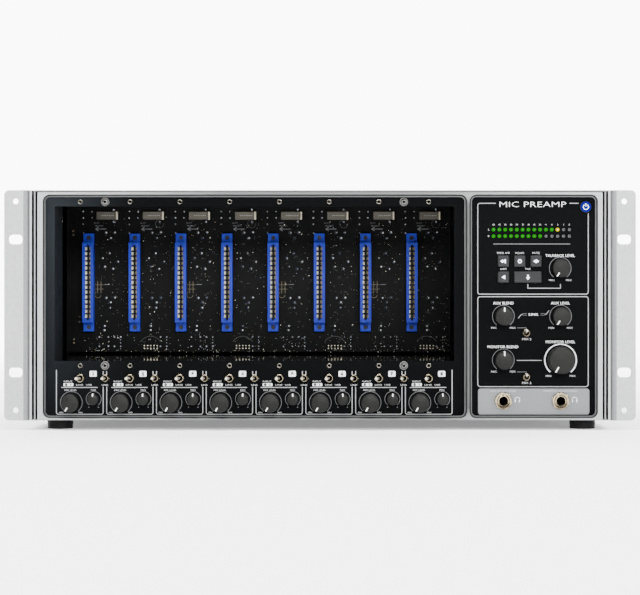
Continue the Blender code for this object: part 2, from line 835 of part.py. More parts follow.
def make_backplane(finish):
    """The board behind the module bay, with an edge socket and a relay for each slot."""
    board = solid(
        "slot_backplane",
        lambda bm: add_box(bm, (-209.5, 109.5), board_at(BACKPLANE_Y), (47, 172)),
        finish["board"],
    )
    centres = [slot_x(index) + SOCKET_OFFSET for index in range(SLOTS)]

    def standing(size, x, z):
        width, depth, height = size
        return around(x, width), (BACKPLANE_Y - depth, BACKPLANE_Y + 0.3), around(z, height)

    def flanges_and_relays(bm):
        dx, dz = RELAY_OFFSET
        for index, x in enumerate(centres):
            add_box(bm, *standing(SOCKET_FLANGE, x, MODULE_CENTRE_Z))
            add_box(bm, *standing(RELAY_SIZE, slot_x(index) + dx, MODULE_CENTRE_Z + dz))

    def bodies(bm):
        width, depth, height = SOCKET_BODY
        for x in centres:
            standing_proud = (BACKPLANE_Y - depth, BACKPLANE_Y - 1)
            add_box(bm, around(x, width), standing_proud, around(MODULE_CENTRE_Z, height))

    def slots(bm):
        width, depth, height = SOCKET_SLOT
        face = BACKPLANE_Y - SOCKET_BODY[1]
        for x in centres:
            add_box(bm, around(x, width), (face - 2, face + depth), around(MODULE_CENTRE_Z, height))
            for side in (-0.5, 0.5):
                z = MODULE_CENTRE_Z + side * SOCKET_SCREW_SPACING
                add_rod(bm, x, z, (face, BACKPLANE_Y - 1.5), 1.7, 8)

    join(board, flanges_and_relays)
    join(board, bodies)
    cut(board, slots)
    return board


def input_places():
    return [(slot_x(index), INPUT_Z) for index in range(SLOTS)]


def output_places():
    return [(x, z) for x in OUTPUT_X for z in OUTPUT_Z]


def square_connectors():
    """X, Z and size of each connector with a square body."""
    for index in range(SLOTS):
        yield slot_x(index), LINK_Z, LINK_SIZE
    for x in LINE_X:
        yield x, LINE_Z, LINE_SIZE
    yield *COMPUTER_AT, COMPUTER_SIZE


def make_rear_board(finish):
    """The board with every rear connector; the connectors reach through the rear wall of the tray."""
    board = solid(
        "rear_connector_board",
        lambda bm: add_box(bm, (-208, 212), board_at(REAR_BOARD_Y), (20, 165)),
        finish["board"],
    )
    on_board = REAR_BOARD_Y + BOARD_THICK - 0.3
    outside = BODY_DEPTH + GAP
    proud = BODY_DEPTH + 0.2
    round_sockets = [*input_places(), SUPPLY_AT]

    def bodies(bm):
        for x, z in round_sockets:
            add_rod(bm, x, z, (on_board, outside + 0.5), ROUND_RADIUS, 12)
        for x, z in output_places():
            add_box(bm, around(x, JACK_BODY), (on_board, REAR_INSIDE - GAP), around(z, JACK_BODY))
        for x, z, (width, height) in square_connectors():
            add_box(bm, around(x, width), (on_board, proud), around(z, height))

    def flanges(bm):
        width, height, thick = ROUND_FLANGE
        for x, z in round_sockets:
            add_box(bm, around(x, width), (outside, outside + thick), around(z, height))
        width, height, thick = LINE_FLANGE
        neck = (proud - 1, outside + 0.3)
        for x in LINE_X:
            add_box(bm, around(x, LINE_SIZE[0] - 1), neck, around(LINE_Z, LINE_SIZE[1] - 1))
            add_box(bm, around(x, width), (outside, outside + thick), around(LINE_Z, height))
        for x, z in output_places():
            add_rod(bm, x, z, (REAR_INSIDE - GAP - 1, REAR_REACH), JACK_NOSE, 10)

    def shells_and_nuts(bm):
        width, height, reach = LINE_SHELL
        for x in LINE_X:
            add_box(bm, around(x, width), (outside + 0.3, outside + reach), around(LINE_Z, height))
        for x, z in output_places():
            add_rod(bm, x, z, (outside, outside + 2.0), JACK_NUT, 6)

    def sockets(bm):
        flange_face = outside + ROUND_FLANGE[2]
        for x, z in round_sockets:
            add_rod(bm, x, z, (flange_face - RECESS, flange_face + 3), ROUND_BORE, 12)
        for x, z in output_places():
            add_rod(bm, x, z, (REAR_REACH - RECESS, REAR_REACH + 3), JACK_BORE, 8)
        openings = [(slot_x(index), LINK_Z, LINK_BORE) for index in range(SLOTS)]
        openings.append((*COMPUTER_AT, COMPUTER_BORE))
        for x, z, (width, height) in openings:
            add_box(bm, around(x, width), (proud - RECESS, proud + 3), around(z, height))

    def inserts(bm):
        for x, z in input_places():
            add_rod(bm, x, z, (BODY_DEPTH - 4, BODY_DEPTH), ROUND_CORE, 8)
        for dx in (-SUPPLY_PIN, SUPPLY_PIN):
            for dz in (-SUPPLY_PIN, SUPPLY_PIN):
                x, z = SUPPLY_AT[0] + dx, SUPPLY_AT[1] + dz
                add_box(bm, around(x, 1.6), (BODY_DEPTH - 4, BODY_DEPTH + 1), around(z, 1.6))

    join(board, bodies)
    join(board, flanges)
    join(board, shells_and_nuts)
    cut(board, sockets)
    join(board, inserts)
    return board


def main():
    clear_scene()
    finish = make_materials()
    make_tray(finish)
    make_cover(finish)
    make_ear("rack_ear_left", -1, finish)
    make_ear("rack_ear_right", 1, finish)
    for row, y in FOOT_ROWS:
        for side, x in FOOT_X.items():
            make_foot(f"foot_{row}_{side}", x, y, finish)
    make_bezel(finish)
    make_front_panel(finish)
    make_bay_liner(finish)
    make_backplane(finish)
    make_control_board(finish)
    make_rear_board(finish)
    make_headphone_jack("headphone_jack_aux", BLEND_X, finish)
    make_headphone_jack("headphone_jack_monitor", LEVEL_X, finish)
    make_knobs(finish)
    make_levers(finish)
    make_buttons(finish)


main()
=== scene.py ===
"""Looks of the eight-slot rack-mount preamp frame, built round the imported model.

Places are millimetres in the front panel's own frame, which at() turns into metres: X runs to the right
as seen from the front, Y is the depth behind the panel's face, and Z is the height above the underside
of the case.
"""

import json
import math
import random

import bmesh
import bpy
from mathutils import Matrix, Vector


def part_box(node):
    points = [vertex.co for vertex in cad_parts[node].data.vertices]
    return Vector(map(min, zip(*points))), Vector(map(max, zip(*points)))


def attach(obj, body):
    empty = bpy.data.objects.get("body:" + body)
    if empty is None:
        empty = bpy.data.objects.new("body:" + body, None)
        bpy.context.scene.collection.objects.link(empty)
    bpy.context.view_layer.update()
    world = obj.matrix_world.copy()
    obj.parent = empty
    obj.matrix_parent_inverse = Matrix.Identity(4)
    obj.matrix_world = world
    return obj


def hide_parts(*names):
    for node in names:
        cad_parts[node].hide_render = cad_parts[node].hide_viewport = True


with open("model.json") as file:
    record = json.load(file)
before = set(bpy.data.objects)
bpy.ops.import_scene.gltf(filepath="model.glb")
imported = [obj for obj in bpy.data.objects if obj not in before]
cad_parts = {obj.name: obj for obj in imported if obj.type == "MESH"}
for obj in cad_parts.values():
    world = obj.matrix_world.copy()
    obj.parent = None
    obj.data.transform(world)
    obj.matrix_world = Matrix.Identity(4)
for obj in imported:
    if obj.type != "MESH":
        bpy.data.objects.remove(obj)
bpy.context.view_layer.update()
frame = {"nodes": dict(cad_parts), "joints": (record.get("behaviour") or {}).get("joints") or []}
ROOT = "frame"
MM = 0.001
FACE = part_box("front_panel")[0].y
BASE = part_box("chassis_tray")[0].z
SLOTS = 8
PITCH = 38.1
UPRIGHT = Matrix.Rotation(math.pi / 2, 4, "X")


def at(x, y, z):
    return Vector((x * MM, FACE + y * MM, BASE + z * MM))


def place(point):
    """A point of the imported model, as X, Y and Z in millimetres of the panel's frame."""
    return point[0] / MM, (point[1] - FACE) / MM, (point[2] - BASE) / MM


def extent(node):
    low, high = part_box(node)
    return place(low), place(high)


JOINT_AT = {j["child"]: place(j["pos_m"]) for j in frame["joints"] if "pos_m" in j}


def centre(node):
    low, high = extent(node)
    return tuple((a + b) / 2 for a, b in zip(low, high))


SLOT_X = [JOINT_AT[f"source_lever_{i + 1}"][0] for i in range(SLOTS)]
BAY_MIDDLE = sum(SLOT_X) / SLOTS
MODULE_Z = 104.5
SCREW_Z = (MODULE_Z - 62.7, MODULE_Z + 62.7)
PANEL_SCREW_X = (SLOT_X[0] + PITCH / 2, SLOT_X[6] + PITCH / 2)
BAY_X = (BAY_MIDDLE - 4 * PITCH - 0.4, BAY_MIDDLE + 4 * PITCH + 0.4)
BAY_Z = (45.4, 163.6)


# Materials


def links(tree, *pairs):
    for a, b in pairs:
        tree.links.new(a, b)


def node(tree, kind, **values):
    made = tree.nodes.new(kind)
    for key, value in values.items():
        if key in made.inputs:
            made.inputs[key].default_value = value
        else:
            setattr(made, key, value)
    return made


def noise(tree, coords, scale, detail=3.0, stretch=(1, 1, 1)):
    """Noise over the piece's own coordinates, with features of about 1 / scale metres."""
    mapping = node(tree, "ShaderNodeMapping", Scale=stretch)
    made = node(tree, "ShaderNodeTexNoise", Scale=scale, Detail=detail)
    links(tree, (coords, mapping.inputs["Vector"]), (mapping.outputs["Vector"], made.inputs["Vector"]))
    return made.outputs["Fac"]


def mapped(tree, value, start, end, low=0, high=1, **how):
    made = node(tree, "ShaderNodeMapRange", **how)
    for name, number in (("From Min", start), ("From Max", end), ("To Min", low), ("To Max", high)):
        made.inputs[name].default_value = number
    links(tree, (value, made.inputs["Value"]))
    return made.outputs["Result"]


def spread(tree, value, low, high):
    """Stretches noise, which stays near 0.5, over the whole range."""
    return mapped(tree, value, 0.25, 0.75, low, high)


def mixed(tree, factor, low, high):
    made = node(tree, "ShaderNodeMix", data_type="RGBA")
    for index, side in ((6, low), (7, high)):
        if isinstance(side, tuple):
            made.inputs[index].default_value = (*side, 1)
        else:
            links(tree, (side, made.inputs[index]))
    links(tree, (factor, made.inputs[0]))
    return made.outputs[2]


def times(colour, factor):
    return tuple(min(1.0, part * factor) for part in colour)


def material(
    name, colour, rough, metal=0, grain=900, vary=0.12, bump=0, specular=0.5, stretch=(1, 1, 1), blotch=60
):
    """Colour that varies finely and in blotches, with roughness and bump that follow the same grain."""
    made = bpy.data.materials.new(name)
    made.use_nodes = True
    tree = made.node_tree
    shader = tree.nodes["Principled BSDF"]
    coords = node(tree, "ShaderNodeTexCoord").outputs["Object"]
    fine = noise(tree, coords, grain, 3.0, stretch)
    broad = noise(tree, coords, blotch, 2.0)
    base = mixed(tree, spread(tree, fine, 0, 1), times(colour, 1 - vary), times(colour, 1 + vary))
    base = mixed(tree, spread(tree, broad, 0, 0.35), base, times(colour, 1 + vary / 2))
    roughness = spread(tree, broad, max(0.02, rough - 0.05), min(1, rough + 0.05))
    links(tree, (base, shader.inputs["Base Color"]), (roughness, shader.inputs["Roughness"]))
    shader.inputs["Metallic"].default_value = metal
    shader.inputs["Specular IOR Level"].default_value = specular
    if bump:
        raised = node(tree, "ShaderNodeBump", Strength=bump, Distance=0.0002)
        links(tree, (fine, raised.inputs["Height"]), (raised.outputs["Normal"], shader.inputs["Normal"]))
    return made


def compare(tree, value, operation, limit):
    made = node(tree, "ShaderNodeMath", operation=operation)
    made.inputs[1].default_value = limit
    links(tree, (value, made.inputs[0]))
    return made.outputs[0]


def product(tree, values):
    total = values[0]
    for value in values[1:]:
        made = node(tree, "ShaderNodeMath", operation="MULTIPLY")
        links(tree, (total, made.inputs[0]), (value, made.inputs[1]))
        total = made.outputs[0]
    return total


def own_place(tree):
    """X, Y and Z of the point being shaded, in metres."""
    apart = node(tree, "ShaderNodeSeparateXYZ")
    links(tree, (node(tree, "ShaderNodeTexCoord").outputs["Object"], apart.inputs[0]))
    return apart.outputs


def along(tree, axis, start, end, mirrored=False):
    """Rises from 0 to 1 between two places on an axis, in the panel's millimetres."""
    value = own_place(tree)[axis]
    if mirrored:
        value = distance_from(tree, value, 0)
    start, end = (at(edge, edge, edge)["XYZ".index(axis)] for edge in (start, end))
    return mapped(tree, value, start, end)


def distance_from(tree, value, place_on_axis):
    moved = node(tree, "ShaderNodeMath", operation="SUBTRACT")
    moved.inputs[1].default_value = place_on_axis
    size = node(tree, "ShaderNodeMath", operation="ABSOLUTE")
    links(tree, (value, moved.inputs[0]), (moved.outputs[0], size.inputs[0]))
    return size.outputs[0]


def graded(made, shade, *ramps):
    """Paints light or shade: multiplies the colour by shade where every ramp has reached 1."""
    tree = made.node_tree
    colour = tree.nodes["Principled BSDF"].inputs["Base Color"]
    mix = node(tree, "ShaderNodeMix", data_type="RGBA", blend_type="MULTIPLY")
    mix.inputs[7].default_value = (shade, shade, shade, 1)
    factor = product(tree, [along(tree, *ramp) for ramp in ramps])
    painted = colour.links[0].from_socket
    links(tree, (painted, mix.inputs[6]), (factor, mix.inputs[0]), (mix.outputs[2], colour))
    return made


def blacken_inside(made):
    """Paints shade on the silver case: near-black inside, and near-black on its front edges in the shaded
    gaps beside the ears, all but one narrow silver line.
    """
    tree = made.node_tree
    shader = tree.nodes["Principled BSDF"]
    spot = own_place(tree)
    across = distance_from(tree, spot["X"], 0)
    low, high = at(-218.0, -4.2, 0.6), at(218.0, 239.4, 175.4)
    inside = [
        compare(tree, across, "LESS_THAN", high.x),
        compare(tree, spot["Y"], "GREATER_THAN", low.y),
        compare(tree, spot["Y"], "LESS_THAN", high.y),
        compare(tree, spot["Z"], "GREATER_THAN", low.z),
        compare(tree, spot["Z"], "LESS_THAN", high.z),
    ]
    line_x, line_half, front, brim = 217.8 * MM, 0.42 * MM, at(0, -3.8, 0).y, at(0, 0, 175.2).z
    edge = [
        compare(tree, distance_from(tree, across, line_x), "GREATER_THAN", line_half),
        compare(tree, spot["Y"], "LESS_THAN", front),
        compare(tree, spot["Z"], "LESS_THAN", brim),
    ]
    # Both masks paint shade: near-black over the silver where the inside and the front-edge gaps lie in
    # shade.
    for tests in (inside, edge):
        painted = shader.inputs["Base Color"].links[0].from_socket
        shaded_colour = mixed(tree, product(tree, tests), painted, (0.006, 0.006, 0.007))
        links(tree, (shaded_colour, shader.inputs["Base Color"]))
    return made


def lit(made, colour, strength):
    """Glows, brightest where the blotches are."""
    tree = made.node_tree
    shader = tree.nodes["Principled BSDF"]
    coords = node(tree, "ShaderNodeTexCoord").outputs["Object"]
    glow = mixed(tree, spread(tree, noise(tree, coords, 700), 0, 1), times(colour, 0.75), colour)
    links(tree, (glow, shader.inputs["Emission Color"]))
    shader.inputs["Emission Strength"].default_value = strength
    return made


SILVER = (0.325, 0.332, 0.34)
# Each finish: colour, roughness, metal, grain, variation, bump, specular level and stretch of the grain
FINISHES = {
    "silver": (SILVER, 0.42, 0.15, 650, 0.14, 0.3),
    "case": ((0.215, 0.22, 0.226), 0.42, 0.15, 650, 0.14, 0.3),
    "bezel": ((0.27, 0.278, 0.284), 0.42, 0.15, 650, 0.14, 0.3),
    # The darker silver below paints shade on the ears' shoulder and groove.
    "shoulder_shade": ((0.135, 0.138, 0.142), 0.42, 0.15, 650, 0.14, 0.3),
    "wall": ((0.010, 0.0115, 0.013), 0.6, 0, 1800, 0.25, 0.05, 0.05),
    "lip": ((0.047, 0.050, 0.051), 0.4, 0.3, 900, 0.12, 0.1),
    "ink_line": ((0.25, 0.255, 0.26), 0.6, 0, 3000, 0.08),
    "black": ((0.0010, 0.0012, 0.0014), 0.42, 0, 2600, 0.3, 0.05, 0.02),
    "floor": ((0.0025, 0.0027, 0.003), 0.03, 0, 1800, 0.3, 0, 0.25),
    "ink": ((0.72, 0.73, 0.74), 0.6, 0, 3000, 0.06),
    "ink_grey": ((0.065, 0.067, 0.07), 0.6, 0, 3000, 0.1),
    "ink_dark": ((0.008, 0.008, 0.009), 0.6, 0, 3000, 0.2),
    "knob": ((0.0062, 0.0063, 0.0058), 0.42, 0, 900, 0.3, 0.2, 0.1),
    "skirt": ((0.0016, 0.0016, 0.0016), 0.5, 0, 2000, 0.2, 0.08, 0.04),
    "button": ((0.0085, 0.0092, 0.010), 0.42, 0, 2000, 0.12, 0.12, 0.15),
    "nickel": ((0.36, 0.31, 0.215), 0.14, 1.0, 900, 0.08, 0.02),
    # The levers' pale, partly diffuse colour paints the bright reflection of polished nickel.
    "lever": ((0.62, 0.58, 0.48), 0.22, 0.6, 900, 0.08),
    "brass": ((0.27, 0.225, 0.145), 0.14, 0.95, 900, 0.1, 0.02),
    "insert": ((0.12, 0.113, 0.095), 0.16, 0.95, 900, 0.1),
    "ink_soft": ((0.36, 0.365, 0.37), 0.6, 0, 3000, 0.08),
    "steel": ((0.085, 0.085, 0.082), 0.24, 0.8, 1200, 0.1, 0.05),
    "gold": ((0.98, 0.92, 0.70), 0.3, 0.15, 1500, 0.1),
    # A darker copy of gold, painting shade on the right-hand contact strips.
    "gold_shaded": ((0.24, 0.195, 0.105), 0.3, 0.4, 1500, 0.15),
    # bore is near-black that paints the shade inside holes, recesses, slots and gaps.
    "bore": ((0.004, 0.004, 0.004), 0.7, 0, 1500, 0.3),
    "blue": ((0.014, 0.030, 0.40), 0.4, 0, 1100, 0.14, 0.06, 0.12),
    "board": ((0.0035, 0.0038, 0.0038), 0.35, 0, 500, 0.5, 0.04, 0.04),
    # Near-white leads paint highlights on the solder joints, and near-black solder paints shade round them.
    "lead": ((0.93, 0.95, 0.97), 0.4, 0.1, 2500, 0.05),
    "solder": ((0.030, 0.037, 0.047), 0.3, 0.3, 2500, 0.3, 0.1),
    "tin": ((0.70, 0.73, 0.78), 0.25, 0.7, 2500, 0.15, 0.1),
    "can": ((0.060, 0.055, 0.042), 0.4, 0.4, 420, 0.45, 0.15, 0.5, (10, 1, 1)),
    "chip": ((0.006, 0.006, 0.0065), 0.5, 0, 2500, 0.2, 0.1, 0.2),
    "plate": ((0.115, 0.123, 0.127), 0.5, 0.1, 800, 0.08, 0.1),
    "rubber": ((0.006, 0.006, 0.0055), 0.6, 0, 1500, 0.3, 0.3, 0.1),
    "green": ((0.0, 0.02, 0.0), 0.4, 0, 900, 0.12, 0, 0.02),
    "yellow": ((0.1, 0.07, 0.0), 0.4, 0, 900, 0.12, 0, 0.02),
    "clear": ((0.004, 0.004, 0.005), 0.2, 0, 800, 0.2, 0, 0.1),
    "power": ((0.0, 0.001, 0.04), 0.4, 0, 900, 0.12, 0, 0.03),
    "icon": ((0.75, 0.77, 0.85), 0.5),
    "white": ((0.80, 0.80, 0.78), 0.5, 0, 1800, 0.05),
    "ink_mid": ((0.022, 0.023, 0.025), 0.6, 0, 3000, 0.1),
    "ink_board": ((0.10, 0.105, 0.11), 0.6, 0, 3000, 0.2),
    "ink_faint": ((0.035, 0.037, 0.037), 0.6, 0, 3000, 0.3),
    "ink_tan": ((0.10, 0.08, 0.04), 0.5, 0.1, 3000, 0.2),
    "pad_dim": ((0.20, 0.17, 0.10), 0.4, 0.3, 2500, 0.3),
    "can_edge": ((0.45, 0.40, 0.30), 0.3, 0.6, 900, 0.15),
    "can_mark": ((0.20, 0.20, 0.18), 0.6, 0, 3000, 0.1),
    "green_core": ((0.004, 0.02, 0.002), 0.4, 0, 3000, 0.2),
    "yellow_core": ((0.85, 0.75, 0.45), 0.4, 0, 3000, 0.2),
    "lamp_rim": ((0.022, 0.023, 0.025), 0.4, 0, 3000, 0.1),
    "green_off": ((0.05, 0.20, 0.04), 0.25, 0, 1500, 0.1),
    "amber_off": ((0.35, 0.20, 0.03), 0.25, 0, 1500, 0.1),
    "plug": ((0.006, 0.006, 0.0065), 0.4, 0, 1800, 0.2, 0.1, 0.2),
}
GLOWS = {
    "green": ((0.006, 0.42, 0.0), 1.0),
    "yellow": ((0.85, 0.60, 0.0), 1.3),
    "power": ((0.0, 0.004, 0.36), 1.0),
    "icon": ((0.62, 0.68, 1.0), 1.6),
}
M = {name: material(name, *values) for name, values in FINISHES.items()}
for name, glow in GLOWS.items():
    lit(M[name], *glow)
# Painted shade inside the case and in the gaps at its front edges.
blacken_inside(M["case"])
# Painted shade: the bezel's top and bottom rails are darkened towards the middle.
graded(M["bezel"], 0.3, ("X", 205, 75, True))
# Painted sheen: the black coat is made lighter towards the left edge and the top, where the side light
# glances off it.
graded(M["black"], 12, ("X", -145, -209), ("Z", -30, 170))
# Painted shade: the post between the two windows is darkened, standing in for the dark surroundings it
# reflects.
graded(M["bezel"], 0.25, ("X", 99, 105), ("X", 125, 119), ("Z", 3, 9), ("Z", 171, 165))


# Shapes gathered in one bmesh


class Shape:
    """One piece's mesh in the making, with the materials that its faces use."""

    def __init__(self):
        self.bm = bmesh.new()
        self.materials = []

    def paint(self, faces, finish):
        if finish not in self.materials:
            self.materials.append(finish)
        for face in faces:
            face.material_index = self.materials.index(finish)

    def loft(self, loops, finish, closed=True, start=False, end=False):
        """Skins between loops of points in millimetres, with caps where asked."""
        rings = [[self.bm.verts.new(at(*point)) for point in loop] for loop in loops]
        count = len(rings[0])
        faces = []
        for a, b in zip(rings, rings[1:]):
            for i in range(count if closed else count - 1):
                j = (i + 1) % count
                faces.append(self.bm.faces.new((a[i], a[j], b[j], b[i])))
        if start:
            faces.append(self.bm.faces.new(list(reversed(rings[0]))))
        if end:
            faces.append(self.bm.faces.new(rings[-1]))
        self.paint(faces, finish)
        return faces

    def turn(self, x, z, profile, finish, sides=32, lift=0.0, tip=None, capped=True):
        """Revolves (radius, height in front of the panel) about an axis along Y; tip turns it afterwards."""
        angles = [2 * math.pi * (i + 0.5) / sides for i in range(sides)]
        loops = [
            [(x + radius * math.sin(a), -height - lift, z + radius * math.cos(a)) for a in angles]
            for radius, height in profile
        ]
        start, end = (capped and profile[i][0] > 0.01 for i in (0, -1))
        faces = self.loft(loops, finish, start=start, end=end)
        if tip:
            verts = list({vert for face in faces for vert in face.verts})
            bmesh.ops.transform(self.bm, matrix=tip, verts=verts)
        return faces

    def stand(self, profile, sides, spot, finish, start=False):
        """Revolves (radius, height). spot() places a point from its offsets across the axis and height."""
        loops = [[spot(a, b, height) for a, b in ring(0, 0, radius, sides)] for radius, height in profile]
        self.loft(loops, finish, start=start)

    def block(self, x, z, half_x, half_z, y, finish, *soft):
        """A box whose middle stands at X and Z."""
        self.box((x - half_x, x + half_x), y, (z - half_z, z + half_z), finish, *soft)

    def box(self, x, y, z, finish, edge=0.0, steps=2):
        """A box, with every edge rounded by edge millimetres."""
        low, high = at(x[0], y[0], z[0]), at(x[1], y[1], z[1])
        matrix = Matrix.Translation((low + high) / 2) @ Matrix.Diagonal((*(high - low), 1))
        verts = bmesh.ops.create_cube(self.bm, size=1, matrix=matrix)["verts"]
        if edge:
            edges = list(dict.fromkeys(line for vert in verts for line in vert.link_edges))
            soft = {"segments": steps, "profile": 0.5, "affect": "EDGES"}
            verts = bmesh.ops.bevel(self.bm, geom=edges, offset=edge * MM, **soft)["verts"]
        self.paint(dict.fromkeys(face for vert in verts for face in vert.link_faces), finish)

    def prism(self, outline, y, finish):
        """Walls along an outline in X and Z from one depth to another, closed at the second."""
        self.loft([[(px, depth, pz) for px, pz in outline] for depth in y], finish, end=True)

    def flat(self, points, y, finish):
        """A thin printed patch, given as points in X and Z."""
        self.paint([self.bm.faces.new([self.bm.verts.new(at(px, y, pz)) for px, pz in points])], finish)

    def stroke(self, points, width, y, finish, closed=False):
        """A printed line of even width along points in X and Z."""
        count = len(points)
        left, right = [], []
        for i, (px, pz) in enumerate(points):
            before = points[i - 1] if i or closed else points[i]
            after = points[(i + 1) % count] if i + 1 < count or closed else points[i]
            a, b = Vector(points[i]) - Vector(before), Vector(after) - Vector(points[i])
            along = (a.normalized() + b.normalized()).normalized()
            across = Vector((-along.y, along.x))
            lean = max(0.5, across.dot(Vector((-b.y, b.x)).normalized()) if b.length else 1)
            reach = width / 2 / lean
            left.append((px + across.x * reach, y, pz + across.y * reach))
            right.append((px - across.x * reach, y, pz - across.y * reach))
        if closed:
            left.append(left[0])
            right.append(right[0])
        self.loft([left, right], finish, closed=False)

    def add_mesh(self, mesh, finish):
        """Adds a ready mesh, whose points are in metres."""
        start = len(self.bm.faces)
        self.bm.from_mesh(mesh)
        self.bm.faces.ensure_lookup_table()
        self.paint(self.bm.faces[start:], finish)

    def piece(self, name, body=ROOT, replaces=(), slot=None, angle=35):
        bmesh.ops.recalc_face_normals(self.bm, faces=self.bm.faces[:])
        mesh = bpy.data.meshes.new(name)
        self.bm.to_mesh(mesh)
        self.bm.free()
        for finish in self.materials:
            mesh.materials.append(M[finish])
        mesh.shade_smooth()
        mesh.set_sharp_from_angle(angle=math.radians(angle))
        obj = linked(name, mesh)
        obj.modifiers.new("flat_faces_stay_flat", "WEIGHTED_NORMAL").keep_sharp = True
        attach(obj, body)
        if replaces:
            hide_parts(*replaces)


def linked(name, data):
    obj = bpy.data.objects.new(name, data)
    bpy.context.scene.collection.objects.link(obj)
    return obj


def rounded(x, z, radius, steps=6):
    """A rounded rectangle's outline in X and Z, anticlockwise from the right-hand side's foot."""
    points = []
    corners = ((x[1], z[0], -90), (x[1], z[1], 0), (x[0], z[1], 90), (x[0], z[0], 180))
    for corner_x, corner_z, start in corners:
        middle_x = corner_x + (radius if corner_x == x[0] else -radius)
        middle_z = corner_z + (radius if corner_z == z[0] else -radius)
        for step in range(steps + 1):
            angle = math.radians(start + 90 * step / steps)
            points.append((middle_x + radius * math.cos(angle), middle_z + radius * math.sin(angle)))
    return points


def oblong(x, z, half_x, half_z, *corner):
    """A rounded rectangle whose middle stands at X and Z."""
    return rounded((x - half_x, x + half_x), (z - half_z, z + half_z), *corner)


def ring(x, z, radius, sides=24):
    angles = [2 * math.pi * i / sides for i in range(sides)]
    return [(x + radius * math.cos(a), z + radius * math.sin(a)) for a in angles]


def arc(x, z, radius, start, end, steps=28):
    """Points round a dial, with angles in degrees clockwise from the top."""
    points = []
    for step in range(steps + 1):
        angle = math.radians(start + (end - start) * step / steps)
        points.append((x + radius * math.sin(angle), z + radius * math.cos(angle)))
    return points


def meshed(curve):
    """The mesh that a curve or a text makes."""
    obj = linked("curve", curve)
    bpy.context.view_layer.update()
    mesh = bpy.data.meshes.new_from_object(obj.evaluated_get(bpy.context.evaluated_depsgraph_get()))
    bpy.data.objects.remove(obj)
    return mesh


def plate(outline, holes, y, edge=0.25, steps=2):
    """A sheet between two depths, with an outline and holes in X and Z and soft edges, in metres."""
    curve = bpy.data.curves.new("plate", "CURVE")
    curve.dimensions = "2D"
    curve.fill_mode = "BOTH"
    curve.extrude = ((y[1] - y[0]) / 2 - edge) * MM
    curve.bevel_depth = edge * MM
    curve.bevel_resolution = steps
    curve.offset = -edge * MM
    for loop in (outline, *holes):
        spline = curve.splines.new("POLY")
        spline.points.add(len(loop) - 1)
        for point, (px, pz) in zip(spline.points, loop):
            point.co = (px * MM, pz * MM, 0, 1)
        spline.use_cyclic_u = True
    mesh = meshed(curve)
    mesh.transform(Matrix.Translation(at(0, (y[0] + y[1]) / 2, 0)) @ UPRIGHT)
    return mesh


def lettering(words, height, x, z, y, width=None, bold=0.0):
    """Flat capitals of that height whose middle stands at X and Z, as a mesh in metres."""
    font = bpy.data.curves.new("letters", "FONT")
    font.body = words
    font.size = MM
    font.resolution_u = 2
    font.offset = bold * MM / max(height, 0.1)
    mesh = meshed(font)
    xs = [vert.co.x for vert in mesh.vertices]
    ys = [vert.co.y for vert in mesh.vertices]
    tall = height * MM / (max(ys) - min(ys))
    wide = width * MM / (max(xs) - min(xs)) if width else tall
    middle = Vector(((max(xs) + min(xs)) / 2, (max(ys) + min(ys)) / 2, 0))
    size = Matrix.Diagonal((wide, tall, 1, 1))
    mesh.transform(Matrix.Translation(at(x, y, z)) @ UPRIGHT @ size @ Matrix.Translation(-middle))
    return mesh


# Bezel, panel and ears

BEZEL_X = 215.8
BEZEL_Z = (0.5, 174.4)
WINDOWS = ((-209.7, 110.3), (116.2, 210.2))
WINDOW_Z = (3.7, 170.6)
BEZEL_FACE = -5.0


def grown(x, z, by):
    return (x[0] - by, x[1] + by), (z[0] - by, z[1] + by)


def make_bezel():
    """A frame whose window edges step down: a steep wall, then a narrow lip. The wall and the depth behind
    the lip are painted near-black and the lip dark grey, as painted shade on the silver frame.
    """
    shape = Shape()
    holes = [rounded(*grown(x, WINDOW_Z, 2.0), 5.3, 8) for x in WINDOWS]
    outline = rounded((-BEZEL_X, BEZEL_X), BEZEL_Z, 0.9, 4)
    shape.add_mesh(plate(outline, holes, (BEZEL_FACE, -0.6), 0.35, 3), "bezel")
    steps = ((2.02, -4.4), (1.35, -3.0), (1.0, -2.6), (0.85, -2.75), (0.15, -2.75), (0, -2.6), (0, -0.45))
    for x in WINDOWS:
        loops = []
        for out, depth in steps:
            wide, tall = grown(x, WINDOW_Z, out)
            loops.append([(px, depth, pz) for px, pz in rounded(wide, tall, 3.3 + out, 8)])
        # Painted shade: near-black wall, dark grey lip, near-black depth behind the lip.
        shape.loft(loops[:3], "bore")
        shape.loft(loops[2:5], "lip")
        shape.loft(loops[4:], "bore")
    shape.piece("bezel_frame", replaces=("front_bezel",), slot="silver_paint")


# Meter, controls and print, shared by the panel and what stands in it

METER_Z = (145.9, 140.9)
METER_X = [132.85 + 4.456 * column for column in range(14)]
LAST_LIT = (11, 8)
BUTTONS = ("speaker_button", "mono_button", "mute_button", "dim_button", "talk_button")
JACKS = ("headphone_jack_aux", "headphone_jack_monitor")
PRINT_Y = -0.04
FINE_PRINT = 1.7
DIAL = (-143, 143)
BUTTON_GAP = 0.8
PLATE_FACE = -0.5


def lamps():
    """Row, column, X and Z of every lamp of the meter."""
    for row, z in enumerate(METER_Z):
        for column, x in enumerate(METER_X):
            yield row, column, x, z


def lever_size(child):
    """Radius of the bush, of its bore and of the lever."""
    return (3.15, 2.3, 1.1) if child.startswith("source") else (2.75, 1.95, 0.9)


